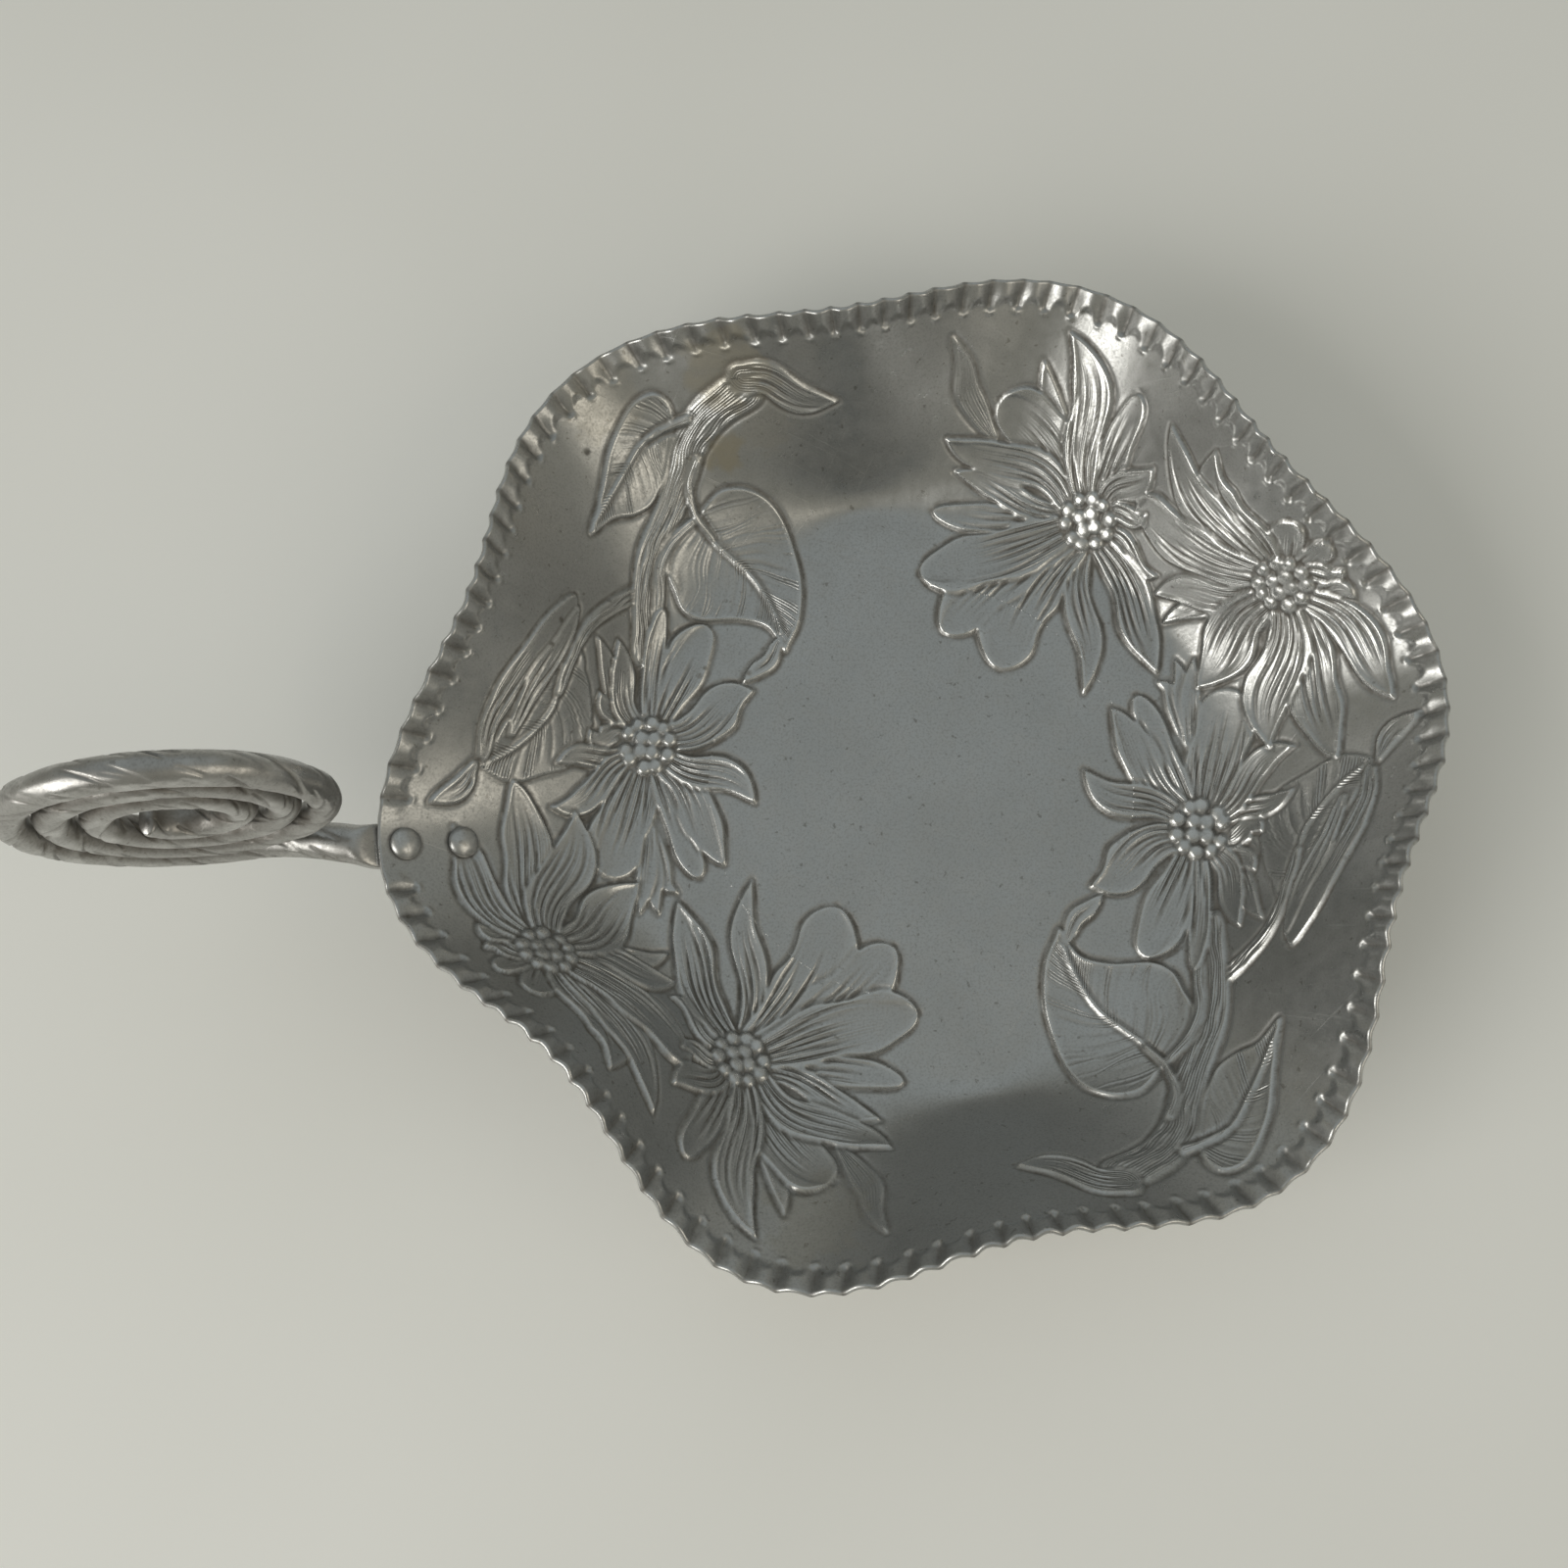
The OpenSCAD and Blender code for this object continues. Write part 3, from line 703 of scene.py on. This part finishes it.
def near_hearts(x, y):
    """1 at the flowers' middles, down to 0 some way out."""
    near = np.zeros(x.shape)
    for cx, cy in (flower_a, flower_b, flower_c):
        far = np.minimum(np.hypot(x - cx, y - cy), np.hypot(x + cx, y + cy))
        near = np.maximum(near, ramp((HEART_DARKER_R - far) / HEART_DARKER_FADE))
    return near


def pit_field(x, y):
    """1 in the dark pits, 0 off them."""
    field = np.zeros(x.shape)
    for (px, py), size in pits:
        field = np.maximum(field, ramp(1.6 - np.hypot(x - px, y - py) / size))
    return field


def stain_field(x, y):
    """Strength of the stains, with ragged edges."""
    field = np.zeros(x.shape)
    for (sx, sy), size, strength in stains:
        rough = 1 + 0.35 * noise(x / 4 + sx, y / 4) + 0.2 * noise(x / 1.5, y / 1.5 + sy)
        far = np.hypot(x - sx, y - sy) / (size * rough)
        field = np.maximum(field, strength * ramp((1 - far) / 0.35))
    return field


def wall_lengths(rim_s, first, wall_rows, crimp_rows):
    """Lengths along the sheet of the rows from a first length up to the rim."""
    wall = mix(first, rim_s - crimp_run, np.linspace(0, 1, wall_rows + 1)[:, None])
    band = rim_s - crimp_run * (1 - np.arange(1, crimp_rows + 1)[:, None] / crimp_rows)
    return np.concatenate([wall, band])


def sheet_side(columns, rows, heights, hollow, side, strand, hatch):
    """Rows of points on one side of the sheet, with their normals and the layers on them."""
    a = handle_dir + 360 * np.arange(columns) / columns
    radii, lengths = run_lengths(a)
    rim_s = lengths[-1][None, :]
    s = rows(rim_s)
    r = np.stack([np.interp(s[:, j], lengths[:, j], radii[:, j]) for j in range(columns)], -1)
    a = np.broadcast_to(a[None, :], s.shape)
    n = sheet_normal(a, r)
    x, y = s * wave(a), s * wave(a - 90)
    up = np.maximum(0, s - rim_s + crimp_run)
    crimp, groove = crimp_field(a, up)
    low = ramp((crimp_run - up) / 3) * mix(0.15, 1, off_rivets(x, y, 2.5))
    dents = DENT * noise(x / DENT_RUN, y / DENT_RUN)
    dents = dents + SMALL_DENT * noise(x / SMALL_DENT_RUN + 50, y / SMALL_DENT_RUN)
    lift = look_up(heights, x, y) * low + crimp + dents * ramp((r - 60) / 20)
    points = middle(a, r) + n * (side * sheet_t / 2 + lift)[..., None]
    # The dark layer: patina with painted shade in the relief's hollows, painted shade in the crimps'
    # grooves and in a ring round each rivet head, and real dark pits.
    deep = look_up(hollow, x, y) * low / HOLLOW_FULL * (1 + 0.7 * near_hearts(x, y))
    ring = 0.8 * hump(off_rivets(x, y, 1.2), 0.25, 0.4)
    layers = {
        "grime_and_shade": np.clip(np.maximum(deep, 0.9 * groove) + ring + pit_field(x, y), 0, 1),
        "wear": np.clip(np.maximum(-deep, 0.3 * ramp(up - crimp_run + 1)), 0, 1),
        "stain": stain_field(x, y),
        "strand": look_up(strand, x, y),
        "hatch": look_up(hatch, x, y) * low,
    }
    return points, n, layers


def sheet_normal(a, r):
    """Direction square to the sheet, into the tray, from two short steps on it."""
    da, dr = 0.05, 0.02
    out = middle(a, r + dr) - middle(a, r - dr)
    return unit(np.cross(out, middle(a + da, r) - middle(a - da, r)))


def build_tray(material):
    heights, strand, hatch = relief()
    soft = blur(heights, HOLLOW_CELLS)
    hollow = soft - heights
    fine = crimps * CRIMP_COLUMNS
    coarse = fine // COARSER
    disc_s = plain_s * np.arange(1, DISC_ROWS + 1)[:, None] / DISC_ROWS
    flat_s = np.concatenate([disc_s, np.linspace(plain_s, base_s, BASE_ROWS + 1)[1:, None]])

    def base_rows(rim_s):
        return flat_s + 0 * rim_s

    def wall_rows(rim_s):
        return wall_lengths(rim_s, base_s, WALL_ROWS, CRIMP_ROWS)

    def under_rows(rim_s):
        low_s = disc_s[:-1] + 0 * rim_s
        return np.concatenate([low_s, wall_lengths(rim_s, plain_s, UNDER_ROWS, CRIMP_ROWS // 2)])

    base, _, base_layers = sheet_side(coarse, base_rows, heights, hollow, 1, strand, hatch)
    wall, n_in, wall_layers = sheet_side(fine, wall_rows, heights, hollow, 1, strand, hatch)
    soft = soft * UNDER_SHARE
    none = 0 * heights
    under, _, under_layers = sheet_side(coarse, under_rows, soft, none, -1, strand, none)
    ahead = unit(wall[-1] - wall[-2])
    edge = [wall[-1] + EDGE_ROUND * ahead - n_in[-1] * sheet_t * t for t in (0.25, 0.75)]
    groups = [
        np.array([[0, 0, sheet_t]]),
        base.reshape(-1, 3),
        wall.reshape(-1, 3),
        np.concatenate(edge),
        np.array([[0, 0, 0]]),
        under.reshape(-1, 3),
    ]
    starts = np.concatenate([[0], np.cumsum([len(group) for group in groups])])
    _, base_a, wall_a, edge_a, low, under_a, _ = starts
    faces = [fan(0, base_a, coarse)]
    faces += strip(base_a, len(base), coarse)
    faces.append(ring_to_fine(wall_a - coarse, wall_a, coarse, COARSER))
    faces += strip(wall_a, len(wall) + len(edge), fine)
    outside = [fan(low, under_a, coarse)]
    outside += strip(under_a, len(under), coarse)
    outside.append(ring_to_fine(under_a + (len(under) - 1) * coarse, edge_a + fine, coarse, COARSER))
    faces += flipped(outside)
    layers = {}
    for name in wall_layers:
        rim = np.tile(wall_layers[name][-1], 2)
        inside = [[0], base_layers[name].ravel(), wall_layers[name].ravel(), rim]
        layers[name] = np.concatenate(inside + [[0], under_layers[name].ravel()])
    return mesh_object("tray_sheet", np.concatenate(groups), faces, material, layers)


# The riveted seat: its origin is on the sheet's middle surface at the outer rivet, X runs up the wall
# and Z into the tray.
seat_o = middle(np.array(handle_dir), np.array(rivet_r))
seat_z = sheet_normal(np.array(handle_dir), np.array(rivet_r - rivet_pitch / 3))
seat_y = unit(np.cross(seat_z, seat_o - middle(np.array(handle_dir), np.array(rivet_r - 1))))
seat_x = np.cross(seat_y, seat_z)
tab_mid = -(sheet_t / 2 + tab_gap + tab_t / 2)


def on_seat(p):
    """Points given on the riveted seat, in the part's frame."""
    p = np.asarray(p, float)
    return seat_o + p[..., 0:1] * seat_x + p[..., 1:2] * seat_y + p[..., 2:3] * seat_z


# The rod's line: a straight tab, a curve that levels it out, and a spiral in an upright plane.
coil_out = np.array([wave(coil_dir), wave(coil_dir - 90), 0])
coil_side = np.cross([0, 0, 1], coil_out)
coil_up = np.array([0, 0, wave(coil_lean)]) - wave(coil_lean - 90) * coil_side
coil_mid = np.array([coil_x, coil_y, stem_h]) + coil_r * coil_up
ROD_SIDES = 88
TURN_RINGS = 560
STEM_RINGS = 90
TAB_RINGS = 40
TIP_RINGS = 8
flat_turns = 0.35
TAB_SQUARE = 8
ROD_SQUARE = 2
ROUND_BY = 0.34
STEM_WIDER = 1.22
END_WIDE = 1.15
END_THIN = 0.65
TIP_LONG = 0.9
TIP_SMALLER = 0.14


def spiral_point(t):
    """Points on the coil's line after some turns from its lowest point."""
    r = (coil_r - coil_pitch * t - coil_close * t * t)[:, None]
    away = wave(360 * t - 90)[:, None] * coil_out + wave(360 * t - 180)[:, None] * coil_up
    return coil_mid + r * away


def rod_line():
    """Rings of the rod: middles, half widths and thicknesses, squareness, width directions and turns."""
    back = -rivet_pitch - tab_end
    t = np.linspace(0, 1, TAB_RINGS, endpoint=False)
    x = mix(back, tab_lip, t)
    tab = on_seat(np.stack([x, 0 * x, 0 * x + tab_mid], -1))
    round_end = np.sqrt(np.clip(1 - (1 - np.clip((x - back) / 4, 0, 1)) ** 2.4, 0.03, 1))
    t = np.linspace(0, 1, STEM_RINGS, endpoint=False)
    rounded = ramp(t / ROUND_BY)
    start, ahead = spiral_point(np.array([0.0, 0.01]))
    p = [on_seat([tab_lip, 0, tab_mid]), on_seat([tab_lip + level_in, 0, tab_mid])]
    p += [start - level_out * unit(ahead - start), start]
    c = np.stack([(1 - t) ** 3, 3 * (1 - t) ** 2 * t, 3 * (1 - t) * t * t, t**3], -1)
    stem_mid = c @ np.stack(p)
    q = np.linspace(0, turns, round(turns * TURN_RINGS) + 1)
    flat = ramp((q - turns + flat_turns) / flat_turns)
    r = (rod_d - rod_taper * q) / 2
    coil = spiral_point(q)
    u = np.linspace(0, 1, TIP_RINGS + 1)[1:]
    tip_r = 1 - TIP_SMALLER * u**3
    tip = coil[-1] + TIP_LONG * u[:, None] * unit(coil[-1] - coil[-2])
    wide, thick = r * mix(1, END_WIDE, flat), r * mix(1, END_THIN, flat)
    stem_w = mix(tab_w, rod_d * mix(STEM_WIDER, 1, ramp(1.6 * t - 0.6)), rounded)
    middles = np.concatenate([tab, stem_mid, coil, tip])
    half_w = np.concatenate([tab_w / 2 * round_end, stem_w / 2, wide, wide[-1] * tip_r])
    stem_t = mix(tab_t, rod_d, rounded)
    half_t = np.concatenate([0 * x + tab_t / 2, stem_t / 2, thick, thick[-1] * tip_r])
    stem_square = mix(TAB_SQUARE, ROD_SQUARE, rounded)
    square = np.concatenate([0 * x + TAB_SQUARE, stem_square, 0 * q + ROD_SQUARE, 0 * u + ROD_SQUARE])
    lean = np.concatenate([0 * x, ramp(t), 0 * q + 1, 0 * u + 1])[:, None]
    turn = np.concatenate([0 * x - 2, t - 1, q, 0 * u + turns])
    return middles, half_w, half_t, square, mix(seat_y, coil_side, lean), turn


# Cuts in the rod: how many, then half lengths, widths, depths, and the width of the sharp side.
SLITS = (190, (2.5, 6), (0.5, 0.95), (0.25, 0.6), 0.25)
NICKS = (130, (2, 5), (1.4, 2.4), (0.15, 0.35), 0.3)
CUT_SLANT = (22, 40)
CUT_BOW = 0.012
CUT_FULL = 0.35
GOLDEN_TURN = 137.5
FORGED = 0.12
FORGED_FINE = 0.04
CUT_CLEAR = 9


def rod_cuts(length, angle, girth, first, last, count, halves, widths, depths, sharp):
    """Slanting cuts spread evenly along and round the rod, sharp on one side and fading on the other."""
    cut = np.zeros(np.broadcast(length, angle).shape)
    for k in range(count):
        at = mix(first, last, (k + rng.uniform(0, 1)) / count)
        round_at = k * GOLDEN_TURN + rng.uniform(-30, 30)
        half, wide, deep = rng.uniform(*halves), rng.uniform(*widths), rng.uniform(*depths)
        slant = math.radians(rng.uniform(*CUT_SLANT))
        rows = np.abs(length[:, 0] - at) < half + wide
        dx = length[rows] - at
        dy = ((angle - round_at + 180) % 360 - 180) / 360 * girth
        u = dx * math.cos(slant) + dy * math.sin(slant)
        v = dy * math.cos(slant) - dx * math.sin(slant) - CUT_BOW * u * u
        face = np.where(v > 0, 1 - v / wide, 1 + v / sharp)
        stroke = deep * np.clip(face, 0, 1) * np.sqrt(np.clip(1 - (u / half) ** 2, 0, 1))
        cut[rows] = np.maximum(cut[rows], stroke)
    return cut


def build_handle(material):
    middles, half_w, half_t, square, lean, turn = rod_line()
    run = unit(np.gradient(middles, axis=0))
    across = unit(lean - np.sum(lean * run, -1, keepdims=True) * run)
    over = np.cross(run, across)
    length = np.concatenate([[0], np.cumsum(np.linalg.norm(np.diff(middles, axis=0), axis=1))])[:, None]
    b = 360 * (np.arange(ROD_SIDES)[None, :] + 0.5) / ROD_SIDES
    e = (2 / square)[:, None]
    cw = half_w[:, None] * np.sign(wave(b)) * np.abs(wave(b)) ** e
    ct = half_t[:, None] * np.sign(wave(b - 90)) * np.abs(wave(b - 90)) ** e
    offset = cw[..., None] * across[:, None, :] + ct[..., None] * over[:, None, :]
    tab_length = rivet_pitch + tab_end + tab_lip
    girth = math.pi * rod_d
    span = (tab_length + CUT_CLEAR, float(length[-1, 0]))
    slits = rod_cuts(length, b, girth, *span, *SLITS)
    nicks = rod_cuts(length, b, girth, *span, *NICKS)
    cut = np.maximum(slits, nicks)
    forged = FORGED * noise(length / 6, wave(b) * 1.2 + 9)
    forged = forged + FORGED_FINE * noise(length / 2, wave(b - 90) * 3 + 30)
    on_rod = ramp((length - tab_length - 4) / 10)
    size = np.linalg.norm(offset, axis=-1)
    shrink = (cut * on_rod + forged * on_rod) / np.maximum(size, 0.5)
    points = middles[:, None, :] + offset * (1 - shrink)[..., None]
    away = unit(middles - coil_mid)[:, None, :]
    facing = np.sum(offset * away, -1) / np.maximum(size, 0.1)
    turn = turn[:, None]
    # Painted shade: darker, in patches, where the turns face each other and inside the cuts.
    inward = ramp((-facing - 0.25) / 0.6) * ramp((turn + 0.1) / 0.2)
    outward = ramp((facing - 0.25) / 0.6) * ramp((turn - 0.85) / 0.2)
    blotch = 0.5 + 0.5 * noise(length / 4, b / 50)
    grime_and_shade = np.clip(cut / CUT_FULL * 0.5 + np.maximum(inward, outward) * (0.6 + 0.4 * blotch), 0, 1)
    wear = np.clip(-forged / FORGED, 0, 1) * (1 - grime_and_shade)
    rings = len(middles)
    faces = flipped(strip(0, rings, ROD_SIDES))
    ends = np.stack([middles[0], middles[-1]])
    last = rings * ROD_SIDES
    faces += [fan(last, 0, ROD_SIDES)[:, ::-1], fan(last + 1, last - ROD_SIDES, ROD_SIDES)]
    everything = np.concatenate([points.reshape(-1, 3), ends])
    layers = {
        "grime_and_shade": np.concatenate([grime_and_shade.ravel(), [0, 0]]),
        "wear": np.concatenate([wear.ravel(), [0, 0]]),
        "stain": np.zeros(len(everything)),
    }
    return mesh_object("coil_rod", everything, faces, material, layers)


# Rivets: a lathed profile with a hammered dome, a shank and a closed head.
RIVET_SIDES = 56
DOME_ROWS = 15
AXIS_R = 0.02
HEAD_OFF = 0.15
HEAD_EDGE = 0.35
RIVET_DENT = 0.07


def build_rivet(name, x, material):
    head_r, tail_r, shank_r = head_d / 2, tail_d / 2, shank_d / 2
    head_z = sheet_t / 2 + HEAD_OFF
    tail_z = -(sheet_t / 2 + tab_gap + tab_t + tail_seat)
    tail_end = tail_z - tail_h
    dome_h = head_seat + head_h - 0.5
    dome = np.linspace(0, 90, DOME_ROWS)
    profile = [(head_r * wave(q - 90), head_z + HEAD_EDGE + dome_h * wave(q)) for q in dome]
    profile[0] = (AXIS_R, profile[0][1])
    profile += [(head_r - 0.15, head_z), (shank_r, head_z), (shank_r, tail_z)]
    profile += [(tail_r - 0.2, tail_z), (tail_r, tail_z - 0.3), (tail_r - 0.25, tail_end + 0.35)]
    profile += [(tail_r - 0.9, tail_end), (AXIS_R, tail_end)]
    r, z = np.array(profile).T
    b = 360 * np.arange(RIVET_SIDES) / RIVET_SIDES
    px, py = r[:, None] * wave(b), r[:, None] * wave(b - 90)
    pz = np.broadcast_to(z[:, None], px.shape)
    dent = RIVET_DENT * noise(px / 1.6 + x, py / 1.6) * ramp((np.hypot(px, py) - 0.3) / 0.6)
    local = np.stack([px + x, py, pz + dent], -1)
    rings = len(profile)
    ring = np.arange(RIVET_SIDES)[None, :]
    faces = strip(0, rings, RIVET_SIDES)
    faces += [ring, (ring + (rings - 1) * RIVET_SIDES)[:, ::-1]]
    # Painted shade on the head's rim and under it, where it meets the sheet.
    grime_and_shade = np.zeros(px.shape)
    grime_and_shade[DOME_ROWS - 2 : DOME_ROWS + 1] = [[0.3], [0.9], [1.0]]
    grime_and_shade = grime_and_shade.ravel()
    layers = {"grime_and_shade": grime_and_shade, "wear": 0.4 * (grime_and_shade == 0), "stain": 0 * grime_and_shade}
    return mesh_object(name, on_seat(local).reshape(-1, 3), faces, material, layers)


# Materials.
class Graph:
    """Short hand for a node tree."""

    def __init__(self, tree):
        self.tree = tree

    def node(self, kind, inputs=None, **settings):
        made = self.tree.nodes.new(kind)
        for name, value in settings.items():
            setattr(made, name, value)
        for name, value in (inputs or {}).items():
            if isinstance(value, bpy.types.NodeSocket):
                self.tree.links.new(value, made.inputs[name])
            else:
                made.inputs[name].default_value = value
        return made

    def math(self, operation, a, b, clamp=False):
        made = self.node("ShaderNodeMath", {0: a, 1: b}, operation=operation, use_clamp=clamp)
        return made.outputs[0]

    def times(self, a, b, clamp=False):
        return self.math("MULTIPLY", a, b, clamp)

    def plus(self, a, b):
        return self.math("ADD", a, b)

    def spread(self, value, low, high, to_low=0.0, to_high=1.0):
        inputs = {"Value": value, "From Min": low, "From Max": high}
        inputs.update({"To Min": to_low, "To Max": to_high})
        return self.node("ShaderNodeMapRange", inputs, interpolation_type="SMOOTHSTEP").outputs[0]

    def blend(self, factor, a, b):
        return self.node("ShaderNodeMix", {0: factor, 6: a, 7: b}, data_type="RGBA").outputs[2]

    def layer(self, name):
        return self.node("ShaderNodeAttribute", attribute_name=name).outputs["Fac"]

    def noise(self, place, scale, detail=3.0, roughness=0.55):
        inputs = {"Vector": place, "Scale": scale, "Detail": detail, "Roughness": roughness}
        return self.node("ShaderNodeTexNoise", inputs).outputs[0]


def scratches(g, place, turn, along_scale, across_scale, keep):
    """Thin straight marks in one direction: 1 on a mark, 0 off it."""
    turned = g.node("ShaderNodeMapping", {"Vector": place, "Rotation": (0, 0, math.radians(turn))})
    scale = (along_scale, across_scale, 40)
    stretched = g.node("ShaderNodeMapping", {"Vector": turned.outputs[0], "Scale": scale})
    return g.spread(g.noise(stretched.outputs[0], 1.0, 2.0), keep, keep + 0.06)


# Colours of what time left on the metal and of the painted shade in its hollows and between parts, and
# the scales of its unevenness per metre.
speck_colour = (0.16, 0.145, 0.12, 1)
worn_colour = (0.80, 0.80, 0.79, 1)
stain_colour = (0.35, 0.31, 0.22, 1)
# Dark brown for grime and patina, also used as painted shade.
grime_and_shade_colour = (0.10, 0.085, 0.065, 1)
CLOUDS = 38.0
MOTTLES = 260.0
SPECKS = 620.0
GRAINS = 1800.0
GRAIN_DEEP = 0.00006
ENGRAVED_DEEP = 0.00006


def aluminium(name, light, dark, rough, grain):
    """Satin aluminium with patina, worn ridges, grime and painted shade in hollows, creases and between
    parts, stains, scratches and a fine grain.
    """
    material = bpy.data.materials.new(name)
    material.use_nodes = True
    g = Graph(material.node_tree)
    shader = material.node_tree.nodes["Principled BSDF"]
    place = g.node("ShaderNodeTexCoord").outputs["Object"]
    cloudy = g.noise(place, CLOUDS, 4.0)
    mottled = g.noise(place, MOTTLES, 4.0)
    fine = g.noise(place, GRAINS, 3.0)
    one_way = scratches(g, place, 17, 14, 1500, 0.66)
    other_way = scratches(g, place, -52, 18, 1700, 0.68)
    marks = g.math("MAXIMUM", one_way, other_way)
    lines = g.math("SINE", g.times(g.layer("strand"), 2 * math.pi), 0.0)
    engraved = g.times(lines, g.layer("hatch"))
    # Darkening from the layer: patina and grime with painted shade in hollows, painted shade in creases,
    # round the rivets and between the rod's turns; also darker along the troughs of the engraved lines.
    grime_and_shade = g.plus(g.layer("grime_and_shade"), g.times(engraved, -0.45))
    grime_and_shade = g.math("MAXIMUM", grime_and_shade, 0.0)
    grime_and_shade = g.times(grime_and_shade, g.spread(mottled, 0.25, 0.65, 0.45, 1.0), True)
    wear = g.times(g.layer("wear"), g.spread(mottled, 0.3, 0.7, 0.5, 1.0), True)
    stain = g.times(g.layer("stain"), g.spread(mottled, 0.2, 0.6, 0.5, 1.0), True)
    colour = g.blend(g.spread(cloudy, 0.3, 0.7), (*light, 1), (*dark, 1))
    dull = tuple(0.72 * c for c in dark)
    colour = g.blend(g.spread(fine, 0.42, 0.72, 0.0, 0.55), colour, (*dull, 1))
    specks = g.spread(g.noise(place, SPECKS, 2.0), 0.66, 0.74)
    colour = g.blend(g.times(specks, 0.5), colour, speck_colour)
    colour = g.blend(g.times(wear, 0.55), colour, worn_colour)
    colour = g.blend(g.times(stain, 0.75), colour, stain_colour)
    colour = g.blend(g.times(grime_and_shade, 0.8), colour, grime_and_shade_colour)
    metal = g.math("SUBTRACT", 1.0, g.plus(g.times(grime_and_shade, 0.45), g.times(stain, 0.35)), True)
    gloss = g.plus(g.spread(mottled, 0.25, 0.75, rough - 0.05, rough + 0.07), g.times(grime_and_shade, 0.25))
    gloss = g.plus(gloss, g.times(marks, 0.08))
    gloss = g.plus(gloss, g.spread(fine, 0.35, 0.7, -0.03, 0.07))
    gloss = g.math("SUBTRACT", gloss, g.times(wear, 0.1))
    height = g.math("SUBTRACT", g.times(fine, 0.6), g.times(marks, 0.5))
    height = g.plus(height, g.times(mottled, 1.4))
    uneven_face = {"Strength": grain, "Distance": GRAIN_DEEP, "Height": height}
    grained = g.node("ShaderNodeBump", uneven_face).outputs[0]
    cut = {"Strength": 1.0, "Distance": ENGRAVED_DEEP, "Height": engraved, "Normal": grained}
    normal = g.node("ShaderNodeBump", cut).outputs[0]
    results = {"Base Color": colour, "Metallic": metal, "Roughness": gloss, "Normal": normal}
    for socket, value in results.items():
        material.node_tree.links.new(value, shader.inputs[socket])
    return material


STONE_CLOUDS = 5.0
STONE_ROUGH = 0.6
stone_dark = (0.905, 0.9, 0.865, 1)
stone_light = (0.945, 0.94, 0.91, 1)


def stone(name):
    """Plain pale table top."""
    material = bpy.data.materials.new(name)
    material.use_nodes = True
    g = Graph(material.node_tree)
    shader = material.node_tree.nodes["Principled BSDF"]
    place = g.node("ShaderNodeTexCoord").outputs["Object"]
    tone = g.spread(g.noise(place, STONE_CLOUDS, 2.0), 0.3, 0.7)
    colour = g.blend(tone, stone_dark, stone_light)
    material.node_tree.links.new(colour, shader.inputs["Base Color"])
    shader.inputs["Roughness"].default_value = STONE_ROUGH
    return material


sheet_metal = aluminium("sheet_aluminium", (0.53, 0.533, 0.527), (0.49, 0.492, 0.483), 0.33, 0.42)
rod_metal = aluminium("rod_aluminium", (0.475, 0.47, 0.455), (0.4, 0.392, 0.38), 0.33, 0.4)
rivet_metal = aluminium("rivet_aluminium", (0.52, 0.52, 0.51), (0.46, 0.46, 0.45), 0.38, 0.3)

tray = build_tray(sheet_metal)
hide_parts("tray")
handle = build_handle(rod_metal)
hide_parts("coil_handle")
for node, x in (("rivet_outer", 0), ("rivet_inner", -rivet_pitch)):
    rivet = build_rivet(node + "_head", x, rivet_metal)
    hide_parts(node)

# The stage: a pale table, soft light and the camera.
FLOOR_HALF = 3.0
FLOOR_DROP = 0.0003
corners = np.array([[-1, -1, 0], [1, -1, 0], [1, 1, 0], [-1, 1, 0]]) * FLOOR_HALF
corners = corners - np.array([0, 0, FLOOR_DROP])
floor_mesh = bpy.data.meshes.new("floor")
floor_mesh.from_pydata(corners.tolist(), [], [(0, 1, 2, 3)])
floor_mesh.materials.append(stone("pale_stone"))
floor = bpy.data.objects.new("floor", floor_mesh)
bpy.context.scene.collection.objects.link(floor)


def area_lamp(name, place, width, depth, power, colour):
    """A window of soft light that faces the tray."""
    light = bpy.data.lights.new(name, "AREA")
    light.shape = "RECTANGLE"
    light.size, light.size_y = width, depth
    light.energy, light.color = power, colour
    lamp = bpy.data.objects.new(name, light)
    bpy.context.scene.collection.objects.link(lamp)
    back = unit(place)
    side = unit(np.cross([0, 0, 1], back))
    turn = Matrix(np.stack([side, np.cross(back, side), back], -1).tolist())
    lamp.matrix_world = Matrix.Translation(place) @ turn.to_4x4()


area_lamp("right_window", (1.22, -0.62, 0.95), 1.1, 0.9, power=3.4, colour=(1.0, 0.925, 0.79))
area_lamp("left_window", (-1.17, -0.77, 0.95), 1.15, 0.9, power=11.2, colour=(1.0, 0.985, 0.94))

# The room's own light: cooler and brighter overhead, leaning towards +Y.
ROOM_LEAN = 30
room_low = (0.275, 0.271, 0.234, 1)
room_high = (0.375, 0.405, 0.403, 1)
world = bpy.data.worlds.new("room")
bpy.context.scene.world = world
world.use_nodes = True
room = Graph(world.node_tree)
ray = room.node("ShaderNodeTexCoord").outputs["Generated"]
toward = {0: ray, 1: (0, wave(90 - ROOM_LEAN), wave(ROOM_LEAN))}
overhead = room.node("ShaderNodeVectorMath", toward, operation="DOT_PRODUCT").outputs["Value"]
background = world.node_tree.nodes["Background"]
room_colour = room.blend(room.spread(overhead, 0.45, 1.0), room_low, room_high)
world.node_tree.links.new(room_colour, background.inputs["Color"])
background.inputs["Strength"].default_value = 1.0

CAMERA_PLACE = (-0.0101, -0.0784, 0.365)
CAMERA_PITCH = 12.3
CAMERA_ROLL = 3.44
camera_data = bpy.data.cameras.new("camera")
camera_data.lens = 36
camera_data.sensor_width = 36
camera = bpy.data.objects.new("camera", camera_data)
bpy.context.scene.collection.objects.link(camera)
roll = Matrix.Rotation(math.radians(CAMERA_ROLL), 4, "Y")
pitch = Matrix.Rotation(math.radians(CAMERA_PITCH), 4, "X")
camera.matrix_world = Matrix.Translation(CAMERA_PLACE) @ roll @ pitch
bpy.context.scene.camera = camera
bpy.context.scene.view_settings.view_transform = "Standard"
